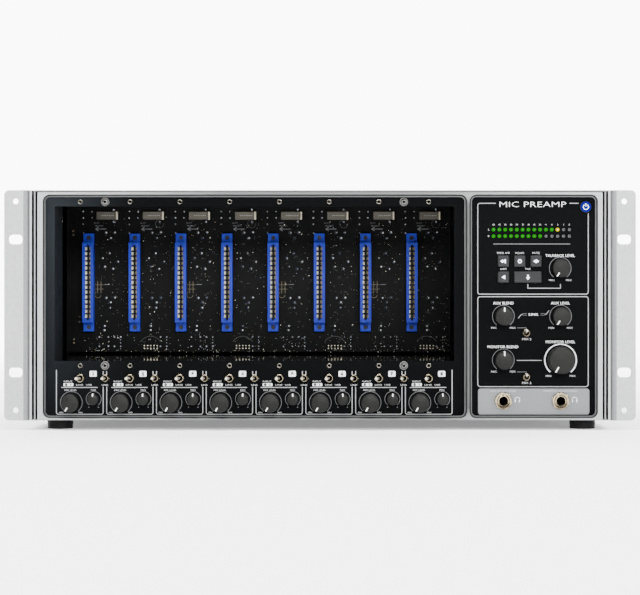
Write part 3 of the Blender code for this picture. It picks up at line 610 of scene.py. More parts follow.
def control_holes():
    """The outlines of every hole in the panel."""
    for child, (x, _, z) in JOINT_AT.items():
        if "knob" in child:
            yield ring(x, z, 2.7 if child.startswith("pan") else 3.7, 20)
        else:
            yield ring(x, z, lever_size(child)[0] + 0.25, 24)
    for _, _, x, z in lamps():
        yield ring(x, z, 1.55, 20)
    for name in BUTTONS:
        low, high = extent(name)
        wide, tall = grown((low[0], high[0]), (low[2], high[2]), 0.35 - BUTTON_GAP)
        yield rounded(wide, tall, 1.1, 4)
    x, _, z = centre("power_button")
    yield ring(x, z, 4.75, 32)
    for name in JACKS:
        x, _, z = centre(name)
        yield ring(x, z, 5.1, 24)
    for x in SLOT_X:
        for z in SCREW_Z:
            yield ring(x, z, 1.9, 20)


def make_panel():
    shape = Shape()
    low, high = extent("front_panel")
    bay = rounded(BAY_X, BAY_Z, 0.6, 3)
    outline = rounded((low[0], high[0]), (low[2], high[2]), 1.0, 3)
    shape.add_mesh(plate(outline, [bay, *control_holes()], (0, 2.0), 0.2, 1), "black")
    shape.piece("control_panel", replaces=("front_panel",), slot="black_powder_coat")


def make_liner():
    """The folded sheet round the bay, with a rivet through its side wall."""
    shape = Shape()
    low, high = extent("bay_liner")
    floor = (low[2], low[2] + 1.5)
    left, right = BAY_X[0] - 0.4, BAY_X[1] + 0.4
    shape.box((low[0], high[0]), (low[1], high[1]), floor, "floor", 0.04)
    shape.box((left - 1.5, left), (low[1], 64), (floor[1] - 0.3, 170), "wall", 0.3)
    shape.box((right, right + 1.5), (low[1], 12), (floor[1] - 0.3, 170), "wall", 0.3)
    shape.box((left - 0.6, right + 0.6), (low[1], 12), (BAY_Z[1] + 0.3, BAY_Z[1] + 1.6), "black", 0.3)
    shape.box((108.0, 109.2), (low[1], high[1]), (floor[1] - 0.3, high[2]), "black", 0.2)
    rivet = [(2.1, 0.0), (2.0, 0.3), (1.3, 0.75), (0.0, 0.95)]
    shape.stand(rivet, 20, lambda a, b, height: (left + height, 60.5 + a, 154 + b), "steel")
    shape.piece("bay_lining", replaces=("bay_liner",), slot="black_powder_coat")


EAR_FACE = -4.0
EAR_BACK = -1.0
EAR_INNER = 220.0
EAR_SEAM = 226.6
EAR_HOLE_X = 232.5
EAR_SLOT_Z = (36.7, 138.3)
EAR_HOLE_Z = (7.8, 167.4)


def ear_section(rear):
    """X and Y round the inner part of an ear: face, shoulder, groove, ridge, side plate and back."""
    ridge, groove, bend = EAR_INNER + 1.9, EAR_INNER + 2.4, 3.4
    points = [(EAR_SEAM, EAR_FACE - 0.01)]
    for step in range(9):
        turn = math.radians(58) * step / 8
        points.append((groove + bend * (1 - math.sin(turn)), EAR_FACE - 0.01 + bend * (1 - math.cos(turn))))
    points += [(groove + 0.05, -1.75), (groove - 0.15, -1.6), (ridge + 0.1, -1.7), (ridge, -1.9)]
    points += [(ridge, EAR_FACE + 0.6), (ridge - 0.15, EAR_FACE + 0.2), (ridge - 0.55, EAR_FACE)]
    points += [(EAR_INNER + 0.55, EAR_FACE), (EAR_INNER + 0.15, EAR_FACE + 0.2), (EAR_INNER, EAR_FACE + 0.6)]
    points += [(EAR_INNER, rear - 0.4), (EAR_INNER + 0.4, rear), (ridge - 0.4, rear), (ridge, rear - 0.4)]
    points += [(ridge, EAR_BACK + 3.4), (ridge + 0.6, EAR_BACK + 1.6), (ridge + 1.8, EAR_BACK + 0.4)]
    return points + [(ridge + 3.4, EAR_BACK), (EAR_SEAM, EAR_BACK)]


def ear_finish(middle):
    """Painted shade: near-black on the side next to the tray, which lies in the gap, and darker silver on the
    shoulder and groove; silver elsewhere.
    """
    x, y, _ = place(middle)
    if abs(abs(x) - EAR_INNER) < 0.1:
        return "bore"
    return "shoulder_shade" if EAR_INNER + 1.95 < abs(x) < EAR_SEAM and y < EAR_BACK - 0.3 else "silver"


def make_ear(side, node):
    """The flange is a plate with its holes; the shoulder, groove and side plate are one swept section."""
    shape = Shape()
    low, high = extent(node)
    bottom, top = low[2], high[2]
    section = ear_section(high[1])
    loops = [[(side * x, y, z) for x, y in section] for z in (bottom, top)]
    for face in shape.loft(loops, "silver", closed=False):
        shape.paint([face], ear_finish(face.calc_center_median()))
    for loop in loops:
        shape.paint([shape.bm.faces.new([shape.bm.verts.new(at(*point)) for point in loop])], "silver")
    outer = max(abs(low[0]), abs(high[0]))
    corner = 4.0
    outline = [(side * (EAR_SEAM - 1.1), bottom)]
    for middle, start in ((bottom + corner, 180), (top - corner, 90)):
        for px, pz in arc(0, 0, corner, start, start - 90, 8):
            outline.append((side * (outer - corner + px), middle + pz))
    outline.append((side * (EAR_SEAM - 1.1), top))
    hole_x = side * EAR_HOLE_X
    holes = [oblong(hole_x, z, 5.2, 3.6, 2.7, 6) for z in EAR_SLOT_Z]
    holes += [ring(hole_x, z, 2.2, 24) for z in EAR_HOLE_Z]
    shape.add_mesh(plate(outline, holes, (EAR_FACE, EAR_BACK), 0.25, 2), "silver")
    for y in (22.0, 60.0):
        for z in (34.0, 142.0):
            shape.box(sorted((side * 219.0, side * 220.4)), (y - 7, y + 7), (z - 7, z + 7), "silver", 0.3)
            screw_head(shape, side, y, z)
    shape.piece(node.removeprefix("rack_"), replaces=(node,), slot="silver_paint", angle=40)


def screw_head(shape, side, y, z):
    """A countersunk screw set into the ear's side plate, with a cross recess."""
    x = side * (EAR_INNER + 1.9)
    profile = ((4.2, -0.02), (3.9, 0.12), (3.2, 0.2), (0.0, 0.25))
    shape.stand(profile, 24, lambda a, b, depth: (x + side * depth, y + a, z + b), "steel")
    # Painted shade: the cross recess is a thin near-black cross on the head.
    depth = sorted((x + side * 0.2, x + side * 0.29))
    for long, tall in ((1.9, 0.4), (0.4, 1.9)):
        shape.box(depth, (y - long, y + long), (z - tall, z + tall), "bore")


# Print on the panel


class Print:
    """White and grey print, gathered in one flat mesh just in front of a face."""

    def __init__(self, y):
        self.shape = Shape()
        self.y = y

    def line(self, points, width=0.75, finish="ink_line", closed=False):
        self.shape.stroke(points, 0.78 * width, self.y, finish, closed)

    def words(self, words, height, x, z, width=None, finish=None, bold=0.0):
        finish = finish or ("ink_soft" if height < FINE_PRINT else "ink")
        self.shape.add_mesh(lettering(words, height, x, z, self.y, width, bold), finish)

    def patch(self, points, finish="ink", lift=0.0):
        self.shape.flat(points, self.y - lift, finish)

    def piece(self, name):
        self.shape.piece(name)


def bent(corners, radius, steps=5):
    """An open line through the corners, with the inner corners rounded."""
    points = [corners[0]]
    for before, corner, after in zip(corners, corners[1:], corners[2:]):
        middle = Vector(corner)
        a, b = (Vector(before) - middle).normalized(), (Vector(after) - middle).normalized()
        for step in range(steps + 1):
            t = step / steps
            points.append(tuple(middle + a * radius * (1 - t) ** 2 + b * radius * t**2))
    return [*points, corners[-1]]


# Words, height of the capitals, distance to the right of the channel's middle, Z and width
CHANNEL_WORDS = (
    ("INPUT", 1.0, -9.3, 29.8, 6.6), ("LINE", 1.1, -0.4, 27.1, 5.4), ("USB", 1.1, 6.6, 27.1, 4.4),
    ("MIX LEVEL", 1.2, -7.3, 23.0, 9.4), ("PAN", 1.2, 10.1, 23.1, 3.6),
    ("MIN", 1.2, -14.6, 5.9, 3.0), ("MAX", 1.2, 0.4, 5.9, 3.2),
)


def print_channel(ink, x, number):
    """The print round one channel's toggle and knobs, and the brace that joins it to the next channel."""
    ink.patch(rounded((x + 7.2, x + 12.6), (33.4, 37.7), 0.7, 4), "ink")
    ink.shape.add_mesh(lettering(str(number), 2.9, x + 9.9, 35.55, PRINT_Y - 0.03, None, 0.3), "ink_dark")
    ink.line([(x - 14.4, 25.1), (x + 13.4, 25.1)], 0.8)
    ink.patch(rounded((x - 12.8, x - 5.3), (26.1, 28.4), 0.7, 4))
    ink.patch(ring(x - 10.8, 27.25, 1.1, 16), "ink_dark", 0.03)
    ink.shape.add_mesh(lettering("A", 1.2, x - 10.8, 27.25, PRINT_Y - 0.06), "ink_grey")
    ink.shape.add_mesh(lettering("B", 1.6, x - 7.2, 27.25, PRINT_Y - 0.03, None, 0.1), "ink_mid")
    for words, height, word_x, z, width in CHANNEL_WORDS:
        ink.words(words, height, x + word_x, z, width)
    level_x, _, level_z = JOINT_AT[f"level_knob_{number}"]
    pan_x, _, pan_z = JOINT_AT[f"pan_knob_{number}"]
    ink.line(arc(level_x, level_z, 8.4, *DIAL), 0.6, "ink_grey")
    ink.line(arc(pan_x, pan_z, 5.8, *DIAL), 0.55, "ink_grey")
    for side in (-3.65, 3.65):
        ink.patch(ring(pan_x + side, 10.0, 0.45, 14), "ink_grey")


def print_dividers(ink):
    """Each channel's box is open at the top, and the two lines between neighbours stand close together."""
    left = [SLOT_X[0] - 18.2] + [x + PITCH / 2 + 1.2 for x in SLOT_X[:-1]]
    right = [x + PITCH / 2 - 1.45 for x in SLOT_X[:-1]] + [SLOT_X[-1] + 17.9]
    tops = [38.5, *[25.6] * (2 * SLOTS - 2), 38.5]
    for i, (a, b) in enumerate(zip(left, right)):
        ink.line(bent([(a, tops[2 * i]), (a, 4.6), (b, 4.6), (b, tops[2 * i + 1])], 1.8), 0.8)
    for i, x in enumerate(SLOT_X[:-1]):
        middle = x + PITCH / 2
        for line_x in (right[i], left[i + 1]):
            ink.line([(line_x, 34.7), (line_x, 37.6)], 0.75)
        ink.words("LINK", 1.2, middle, 27.0, 5.0)
        ink.patch(ring(middle + 3.2, 31.9, 0.4, 12), "ink_grey")


METER_MARKS = ("60", "42", "36", "30", "24", "21", "18", "15", "12", "9", "6", "3", "1", "0")


def print_meter(ink):
    for mark, x in zip(METER_MARKS, METER_X):
        ink.words(mark, 1.25, x, 149.7, None)
    for mark, z in zip("LR", METER_Z):
        ink.words(mark, 1.4, 129.2, z, None)
    ink.line([(132.6, 134.9), (191.5, 134.9)], 0.85, "ink_grey")


def print_master(ink):
    """Two boxes, the title between the parts of the upper one's top line, and a label at each control."""
    left, right = 120.7, 205.3
    ink.line(bent([(134.6, 166.0), (left, 166.0), (left, 96.5), (right, 96.5), (right, 158.4)], 2.0), 0.75)
    ink.line([(191.0, 166.0), (197.8, 166.0)], 0.75)
    ink.words("MIC PREAMP", 4.0, 162.9, 165.2, 51.0, None, -0.07)
    ink.line(rounded((left, right), (25.7, 94.6), 2.0, 5), 0.75, closed=True)
    for name, word in zip(BUTTONS, ("SPKR A/B", "MONO", "MUTE", "DIM", "TALK")):
        x, _, z = centre(name)
        ink.words(word, 1.45, x, z + 6.3, {"SPKR A/B": 9.6, "MONO": 6.8, "MUTE": 5.6}.get(word, 4.4))
    x, _, z = JOINT_AT["talkback_knob"]
    talk_x = centre("talk_button")[0]
    ink.line([(talk_x, 104.2), (talk_x, 101.0), (x + 0.2, 101.0), (x + 0.2, 104.2)], 0.7)
    ink.words("TALKBACK LEVEL", 2.0, x, 126.0, 22.4)
    dials = {
        "talkback_knob": (107.2, 6.6, "MIN", "MAX"),
        "aux_level_knob": (70.7, 7.1, "MIN", "MAX"),
        "aux_blend_knob": (70.7, 7.2, "MIC", "MIX"),
        "monitor_blend_knob": (37.2, 7.2, "MIC", "MIX"),
        "monitor_level_knob": (33.9, 9.2, "MIN", "MAX"),
    }
    for name, (label_z, reach, low, high) in dials.items():
        x, _, z = JOINT_AT[name]
        ink.words(low, 1.4, x - reach, label_z, 4.2)
        ink.words(high, 1.4, x + reach, label_z, 4.4)
        if name != "monitor_level_knob":
            ink.line(arc(x, z, 8.4, *DIAL), 0.6, "ink_grey")
            continue
        for part in range(10):
            start = -140 + 28 * part
            ink.line(arc(x, z, 12.1, start + 0.8, start + 27.2, 6), 1.1, "ink")
    for words, x, z, width in (
        ("AUX BLEND", 140.3, 89.6, 15.6), ("AUX LEVEL", 184.0, 89.6, 14.4),
        ("MONITOR BLEND", 140.0, 56.2, 23.4), ("MONITOR LEVEL", 184.0, 60.0, 22.4),
    ):
        ink.words(words, 2.0, x, z, width)
    ink.line([(150.6, 45.8), (169.6, 45.8)], 0.6)
    for name, label_z in (("aux_return_lever", 62.1), ("monitor_return_lever", 28.6)):
        x, _, z = JOINT_AT[name]
        ink.line([(150.8, z + 3.9), (x, z + 3.9), (x + 0.3, z + 3.0)], 0.5, "ink_grey")
        ink.words("MIX 2", 1.6, x + 0.3, label_z, 7.0)
    x, z = 163.5, 81.0
    for side in (-1, 1):
        inner, outer = x + side * 5.2, x + side * 8.6
        for line_z in (81.6, 80.4):
            ink.line([(inner, line_z), (outer, line_z)], 0.4, "ink_grey")
        bend = [(0, 0), (1.0, 0.2), (3.2, 3.0)]
        ink.line([(outer + side * across, z + side * up) for across, up in bend], 0.5)
    ink.words("LINK", 1.8, x, z, 7.2)


def print_jack_plate(ink):
    for name, word, width in zip(JACKS, ("AUX HEADPHONES", "MONITOR HEADPHONES"), (19.6, 25.6)):
        x, _, z = centre(name)
        ink.words(word, 1.3, x - 0.2, 22.4, width)
        middle = x + 10.7
        ink.line(arc(middle, z + 1.0, 1.9, -110, 110, 14), 0.5, "ink")
        for side in (-1, 1):
            cup = rounded(sorted((middle + side * 1.25, middle + side * 2.0)), (z - 1.0, z + 0.9), 0.3, 3)
            ink.patch(cup)


def make_print():
    ink = Print(PRINT_Y)
    for number, x in enumerate(SLOT_X, 1):
        print_channel(ink, x, number)
    print_dividers(ink)
    ink.piece("channel_print")
    ink = Print(PRINT_Y)
    print_meter(ink)
    print_master(ink)
    ink.piece("master_print")
    ink = Print(PLATE_FACE - 0.04)
    print_jack_plate(ink)
    ink.piece("jack_print")


def make_jack_plate():
    shape = Shape()
    holes = [ring(centre(name)[0], centre(name)[2], 4.9, 24) for name in JACKS]
    outline = rounded((120.9, 206.1), (4.35, 24.3), 2.0, 6)
    shape.add_mesh(plate(outline, holes, (PLATE_FACE, -0.02), 0.15, 2), "plate")
    shape.piece("jack_plate", slot="silver_paint")


# Knobs, toggles, buttons and jacks


TOGGLE_TILT = math.radians(13)
CONTROL_BOARD = (12.3, 13.9)
LOWEST_MARK = math.radians(-150)


def make_knob(name):
    """A round cap with a slightly dished face, a skirt, and a white pointer set in its face and side."""
    x, _, z = JOINT_AT[name]
    dome = 0.65
    height = -extent(name)[0][1] - dome - 0.05
    kind = "pan" if name.startswith("pan") else "monitor" if name.startswith("monitor_level") else "level"
    cap, base = {"pan": (4.3, 4.75), "level": (6.9, 7.25), "monitor": (10.2, 10.7)}[kind]
    rounding = 0.16 * cap + 0.2
    turn_by = LOWEST_MARK if "level" in name or "talk" in name else 0
    axis = at(x, 0, z)
    spin = Matrix.Translation(axis) @ Matrix.Rotation(turn_by, 4, (0, 1, 0)) @ Matrix.Translation(-axis)
    shape = Shape()
    sides = 64
    # The skirt's darker colour runs up the whole side to the cap's rounding: the skirt's own darker plastic,
    # and painted shade on the side, which faces away from the light.
    profile = [(base - 0.5, 1.2), (base - 0.1, 1.3), (base, 1.7), (base, 2.6), (base - 0.15, 2.9)]
    profile += [(base - 0.3, 3.1), (cap + 0.05, height - rounding - 0.3), (cap, height - rounding)]
    shape.turn(x, z, profile, "skirt", sides)
    face = cap - rounding
    profile = []
    for step in range(7):
        angle = math.radians(90 * step / 6)
        profile.append((cap - rounding * (1 - math.cos(angle)), height - rounding * (1 - math.sin(angle))))
    profile += [(face * f, height + dome * (1 - f * f)) for f in (0.85, 0.7, 0.5, 0.3, 0.15, 0.0)]
    shape.turn(x, z, profile, "knob", sides)
    half, inner = 0.42 if kind != "pan" else 0.38, cap * 0.55
    parts = (inner / face, 0.8, 0.9, 1.0)
    steps = [(face * part, height + 0.03 + dome * (1 - part * part)) for part in parts]
    for step in range(1, 6):
        angle = math.radians(90 - 90 * step / 5)
        drop = rounding * (1 - math.sin(angle))
        steps.append((face + rounding * math.cos(angle) + 0.02, height - drop + 0.02))
    steps.append((cap + 0.15, height * 0.62))
    shape.loft([[(x + a, -h, z + r) for r, h in steps] for a in (-half, half)], "white", closed=False)
    shaft = 2.0 if kind == "pan" else 3.0
    shape.turn(x, z, [(shaft, 1.4), (shaft, -9.0)], "steel", 24)
    bmesh.ops.transform(shape.bm, matrix=spin, verts=shape.bm.verts[:])
    shape.piece(f"cap_{name}", name, (name,), "soft_touch_plastic", angle=50)


def make_toggle(name):
    """A polished lever with a rounded end, on the ball it swings about."""
    x, y, z = JOINT_AT[name]
    radius = lever_size(name)[2]
    length = 11.5 if name.startswith("source") else 9.5
    tip = Matrix.Rotation(-TOGGLE_TILT, 4, "X" if "return" in name else "Z")
    pivot = at(x, y, z)
    swing = Matrix.Translation(pivot) @ tip @ Matrix.Translation(-pivot)
    end = ((0, 0), (0.5, 0.12), (0.9, 0.5), (1.15, 1.2), (1.15, 1.9), (1.0, 3.4))
    ball = ((0.85, 3.0), (0.85, 1.5), (1.2, 1.0), (1.45, 0.3), (1.45, -0.4), (1.1, -1.0), (0, -1.35))
    profile = [(radius * part, length - down) for part, down in end]
    profile += [(radius * part, height) for part, height in ball]
    shape = Shape()
    # Painted reflection: the lever's pale, partly diffuse finish stands in for the shine of polished nickel.
    shape.turn(x, z, profile, "lever", 24, lift=-y, tip=swing)
    shape.piece(f"toggle_{name}", name, (name,), "nickel_plate", angle=60)


def make_bushes():
    """Every toggle's threaded bush with its dress nut, and the boards behind the panel with their parts."""
    shape = Shape()
    for child, (x, _, z) in JOINT_AT.items():
        if "lever" not in child:
            continue
        outer, bore, _ = lever_size(child)
        wall = ((0, -2.0), (0, 1.5), (0.12, 1.62), (0.12, 2.45), (0.3, 2.9), (0.45, 3.18))
        profile = [(outer - inset, height) for inset, height in wall]
        profile += [(bore + 0.2, 3.18), (bore + 0.05, 3.0), (bore - 0.1, 1.2)]
        shape.turn(x, z, profile, "nickel", 40)
        # Painted shade: the inside of the bush is near-black.
        shape.turn(x, z, [(bore - 0.1, 1.2), (bore - 0.15, -1.6), (0.0, -1.8)], "bore", 40)
    shape.piece("toggle_bushes", slot="nickel_plate", angle=30)
    shape = Shape()
    for child, (x, _, z) in JOINT_AT.items():
        half = 4.6 if "knob" in child and not child.startswith("pan") else 3.6
        shape.block(x, z, half, half, (2.6, 12.2), "chip", 0.4)
    shape.box((-206, 120), CONTROL_BOARD, (3, 42), "board", 0.2)
    shape.box((114, 212), CONTROL_BOARD, (42.0, 172), "board", 0.2)
    shape.box((120, 212), CONTROL_BOARD, (26.0, 42.0), "board", 0.2)
    shape.piece("control_boards", replaces=("control_circuit_board",), slot="board")


def make_lamps():
    """The meter's lenses: lit ones glow with a darker die behind, unlit ones show a pale rim."""
    shape = Shape()
    for row, column, x, z in lamps():
        is_lit = column <= LAST_LIT[row]
        finish = "clear"
        if is_lit:
            finish = "yellow" if (row, column) == (0, LAST_LIT[0]) else "green"
        shape.turn(x, z, [(1.4, -2.0), (1.4, 0.0), (1.3, 0.25), (0.9, 0.45), (0.0, 0.55)], finish, 24)
        if is_lit:
            shape.box((x - 0.25, x + 0.3), (-0.60, -0.4), (z - 0.5, z + 0.45), finish + "_core", 0.05)
            continue
        shape.turn(x, z, [(1.15, 0.4), (1.12, 0.46), (0.92, 0.52), (0.9, 0.5)], "lamp_rim", 20)
        shape.box((x - 0.05, x + 0.75), (-0.62, -0.45), (z - 0.35, z + 0.35), "bore", 0.05)
    shape.piece("meter_lamps", angle=40)


# Closed outlines of the signs on the buttons, in millimetres about the middle
ICONS = {
    "speaker_button": (
        (-2.4, 0), (-0.6, 1.4), (-0.6, 0.8), (1, 0.8), (1, 1.5), (1.8, 1.5),
        (1.8, -1.5), (1, -1.5), (1, -0.8), (-0.6, -0.8), (-0.6, -1.4),
    ),
    "mute_button": (
        (-2.2, 0), (-0.7, 1.1), (-0.7, 0.6), (0, 1.6), (0.7, 0.6), (0.7, 1.1),
        (2.2, 0), (0.7, -1.1), (0.7, -0.6), (0, -1.6), (-0.7, -0.6), (-0.7, -1.1),
    ),
    "dim_button": ((-1.5, 0), (1.3, 1.6), (1.3, -1.6)),
    "talk_button": (
        (-1.5, -0.2), (-0.55, -0.2), (-0.55, 1.8), (0.55, 1.8), (0.55, -0.2), (1.5, -0.2), (0, -2),
    ),
}


def make_button(name):
    """A soft-edged cap with a slightly hollow face and a glowing sign."""
    low, high = extent(name)
    x, _, z = centre(name)
    face = low[1]
    width, height = (high[0] - low[0]) / 2 - BUTTON_GAP, (high[2] - low[2]) / 2 - BUTTON_GAP
    shape = Shape()
    shape.block(x, z, width + BUTTON_GAP, height + BUTTON_GAP, (2.7, 3.5), "chip", 0.2)
    steps = ((0, 0.9), (0.06, 0.6), (0.25, 0.25), (0.55, 0.06), (0.9, 0), (1.3, 0.03), (2.2, 0.12))
    loops = []
    for inset, y in ((0, 3.0), *[(inset, face + rise) for inset, rise in steps]):
        outline = oblong(x, z, width - inset, height - inset, max(0.35, 1.0 - inset * 0.5), 5)
        loops.append([(px, y, pz) for px, pz in outline])
    shape.loft(loops, "button", end=True)
    if name in ICONS:
        shape.prism([(x + px, z + pz) for px, pz in ICONS[name]], (face + 0.2, face + 0.04), "icon")
    else:
        shape.stroke(ring(x, z, 1.15, 20), 0.75, face + 0.04, "icon", closed=True)
    shape.piece(f"cap_{name}", name, (name,), "button_plastic", angle=50)


def make_power_button():
    """A round blue button with the usual on sign, in a dark ring."""
    x, _, z = centre("power_button")
    face = extent("power_button")[0][1]
    shape = Shape()
    profile = [(5.0, -3.5), (5.0, -2.7), (4.35, -2.7), (4.35, 0.9), (4.25, 1.2), (4.0, 1.35)]
    shape.turn(x, z, profile, "chip", 48)
    profile = [(4.0, 1.35), (3.95, 1.55), (3.6, 1.72), (2.4, 1.66), (1.2, 1.6), (0.0, 1.58)]
    shape.turn(x, z, profile, "power", 48)
    y = face + 0.01
    shape.stroke(arc(x, z - 0.1, 2.0, 35, 325, 30), 0.42, y, "icon")
    shape.stroke([(x, z + 0.4), (x, z + 2.7)], 0.42, y, "icon")
    shape.piece("cap_power_button", "power_button", ("power_button",), "button_plastic", angle=50)


def make_jack(name, turn_by):
    """A quarter-inch jack: threaded nose, washer, hexagon nut with chamfered corners, and a lined bore."""
    x, _, z = centre(name)
    shape = Shape()
    nose = [(3.2, 2.9), (3.5, 3.35), (4.2, 3.4), (4.55, 3.1)]
    for thread in range(6):
        height = 3.0 - 0.5 * thread
        nose += [(4.65, height), (4.4, height - 0.25)]
    shape.turn(x, z, [*nose, (4.65, -2.0)], "brass", 48)
    shape.turn(x, z, [(0.0, -18.0), (3.2, -18.0), (3.2, 0.6)], "bore", 40)
    shape.turn(x, z, [(3.2, 0.6), (3.2, 2.9)], "brass", 40)
    shape.turn(x, z, [(6.9, 0.52), (6.9, 0.85), (6.75, 0.95), (4.6, 0.95)], "steel", 48)
    loops = []
    for height, limit in ((0.95, 6.3), (1.25, 9), (2.2, 9), (2.55, 6.35), (2.6, 6.1), (2.5, 4.9), (2.2, 4.6)):
        loop = []
        for i in range(72):
            angle = 2 * math.pi * i / 72
            hexagon = 6.15 / math.cos((angle + math.pi / 6) % (math.pi / 3) - math.pi / 6)
            radius, angle = min(hexagon, limit), angle + turn_by
            loop.append((x + radius * math.sin(angle), -height, z + radius * math.cos(angle)))
        loops.append(loop)
    shape.loft(loops, "brass")
    shape.block(x, z, 6.5, 6.5, (2.4, 26.0), "chip", 0.4)
    shape.piece(f"socket_{name}", ROOT, (name,), "nickel_plate", angle=35)


def make_inserts():
    """The threaded inserts for the modules' screws, and the four screws that hold the panel."""
    shape = Shape()
    profile = [(1.85, -1.9), (1.85, 0.0), (1.75, 0.14), (1.5, 0.2), (1.2, 0.1), (1.05, -0.2), (1.05, -1.9)]
    for x in SLOT_X:
        for z in SCREW_Z:
            shape.turn(x, z, profile, "insert", 28)
            # Painted shade: a near-black floor closes each insert's hole.
            shape.turn(x, z, [(1.05, -1.9), (0.0, -1.9)], "bore", 28)
    shape.piece("module_inserts", slot="nickel_plate")
    shape = Shape()
    for x in PANEL_SCREW_X:
        for z in SCREW_Z:
            shape.turn(x, z, [(3.35, 0.02), (3.35, 0.3), (3.2, 0.45), (2.55, 0.45)], "steel", 36)
            # Painted shadow: a near-black ring between the washer and the head.
            shape.turn(x, z, [(2.6, 0.44), (2.35, 0.5)], "bore", 36)
            head = [(2.35, 0.46), (2.35, 0.9), (2.1, 1.4), (1.6, 1.65), (1.15, 1.7)]
            shape.turn(x, z, head, "steel", 36)
            # Painted shade: the hexagon recess is near-black.
            shape.turn(x, z, [(1.15, 1.7), (1.05, 0.9), (0.0, 0.85)], "bore", 6)
    shape.piece("panel_screws", slot="nickel_plate", angle=30)


# The board behind the module bay

CELLS = 15
CELL_PITCH = 3.96


def cell_z(index):
    return MODULE_Z + (index - (CELLS - 1) / 2) * CELL_PITCH


def socket_contacts(shape, x, face):
    """Two rows of bowed springs, one pair in each cell of the socket."""
    bow = ((2.2, 1.1), (2.1, 0.8), (1.8, 0.75), (1.35, 1.2), (0.95, 2.4), (0.75, 4.5), (0.95, 6.5))
    for index in range(CELLS):
        z = cell_z(index)
        for side in (-1, 1):
            strip = [(x + side * reach, face + depth) for reach, depth in bow]
            loops = [[(px, y, z - 1.25) for px, y in strip], [(px, y, z + 1.25) for px, y in strip]]
            # Painted light and shade: left strips in bright gold, right strips in its darker copy.
            shape.loft(loops, "gold" if side < 0 else "gold_shaded", closed=False)


def socket_mouth(x):
    """The slot's outline, which widens into a cell at each pair of contacts."""
    slot, tooth, cell, half, end = 0.95, 1.75, 2.35, 1.6, 31.2
    last = cell_z(CELLS - 1) + half - MODULE_Z
    right = [(x + slot, MODULE_Z + end), (x + slot, MODULE_Z + last)]
    for index in reversed(range(CELLS)):
        top, bottom = cell_z(index) + half, cell_z(index) - half
        right += [(x + cell, top), (x + cell, bottom)]
        right += [(x + tooth, bottom), (x + tooth, bottom - CELL_PITCH + 2 * half)]
    right[-2:] = [(x + slot, MODULE_Z - last), (x + slot, MODULE_Z - end)]
    return right + [(2 * x - px, pz) for px, pz in reversed(right)]


def socket_body(shape, x, face, board):
    """The moulded body: a face with cells, walls behind it, and a block with a screw hole at each end."""
    half, long = 4.65, 33.0
    outline = oblong(x, MODULE_Z, half, long, 0.4, 2)
    shape.add_mesh(plate(outline, [socket_mouth(x)], (face, face + 3.2), 0.12, 1), "blue")
    back = (face + 3.0, board - 0.3)
    for side in (-1, 1):
        walls = sorted((x + side * 2.6, x + side * (half - 0.02)))
        shape.box(walls, back, (MODULE_Z - long + 0.1, MODULE_Z + long - 0.1), "blue", 0.1)
        ends = sorted((MODULE_Z + side * (long - 0.1), MODULE_Z + side * (long - 2)))
        shape.box((x - 3.0, x + 3.0), back, ends, "blue", 0.1)
    # Painted shade: a near-black sheet behind the slot.
    shape.block(x, MODULE_Z, 2.7, 31.5, (face + 8.5, face + 9.2), "bore")
    for side in (-1, 1):
        z, hole_z = MODULE_Z + side * 36.6, MODULE_Z + side * 37.0
        outline = oblong(x, z, 4.4, 3.9, 0.5, 3)
        block = (board - 6.0, board - 0.3)
        shape.add_mesh(plate(outline, [ring(x, hole_z, 1.75, 24)], block, 0.3, 2), "blue")
        # Painted shade: each screw hole is lined near-black.
        shape.turn(x, hole_z, [(1.75, 5.5), (1.7, 1.0), (0.0, 1.0)], "bore", 24, -board)


def make_backplane():
    low, high = extent("slot_backplane")
    board = high[1] - 1.6
    face = low[1]
    shape = Shape()
    shape.box((low[0], high[0]), (board, high[1]), (low[2], high[2]), "board", 0.2)
    shape.piece("bay_board", replaces=("slot_backplane",), slot="board")
    shape, springs = Shape(), Shape()
    for slot_x in SLOT_X:
        socket_body(shape, slot_x - 7.5, face, board)
        socket_contacts(springs, slot_x - 7.5, face)
    shape.piece("edge_sockets", slot="board", angle=30)
    springs.piece("socket_contacts", slot="nickel_plate", angle=40)
    make_cans(board)
    make_solder(board)
    make_board_print(board)


def make_cans(board):
    """A metal can for each slot with its crimped end and the two pins beside it."""
    shape = Shape()
    for slot_x in SLOT_X:
        x, z = slot_x + 7.6, MODULE_Z + 55.2
        shape.block(x, z, 8.7, 3.3, (board - 5.9, board), "can", 0.35, 3)
        shape.box((x + 7.3, x + 8.75), (board - 6.0, board), (z - 3.35, z + 3.35), "can_edge", 0.3, 2)
        for mark in range(7):
            mark_x = x - 4.4 + mark * 1.5
            shape.box((mark_x, mark_x + 0.9), (board - 5.94, board - 5.85), (z - 0.3, z + 0.5), "can_mark")
        for side in (-1, 1):
            tab = [(1.3, 0.0), (1.25, 1.4), (0.75, 3.4), (0.0, 3.9)]
            shape.turn(x + 5.2, z + side * 5.0, tab, "tin", 16, -board)
    shape.piece("relay_cans", slot="nickel_plate", angle=30)


# Solder joints of one slot: distance to the right of the slot's middle, and Z
JOINTS_BIG = (
    (6.2, 145.6), (13.4, 145.9), (10.1, 141.2), (9.0, 128.6), (3.3, 124.5), (15.9, 121.6), (5.1, 117.5),
    (11.9, 115.7), (6.2, 91.6), (13.4, 91.9), (9.8, 87.9), (9.5, 83.5), (4.9, 68.4), (4.7, 64.9),
)
JOINTS_SMALL = ((-12.5, 163.2), (-12.5, 158.0), (-12.5, 152.7), (-5.3, 163.1), (-5.3, 158.0), (-12.3, 145.4))


def solder_joint(shape, x, z, radius, board, finish="tin"):
    dome = ((0.92, 0.35), (0.6, 0.75), (0.0, 0.95))
    profile = [(radius, -0.05), *[(radius * wide, radius * high) for wide, high in dome]]
    shape.turn(x, z, profile, finish, 14, -board)


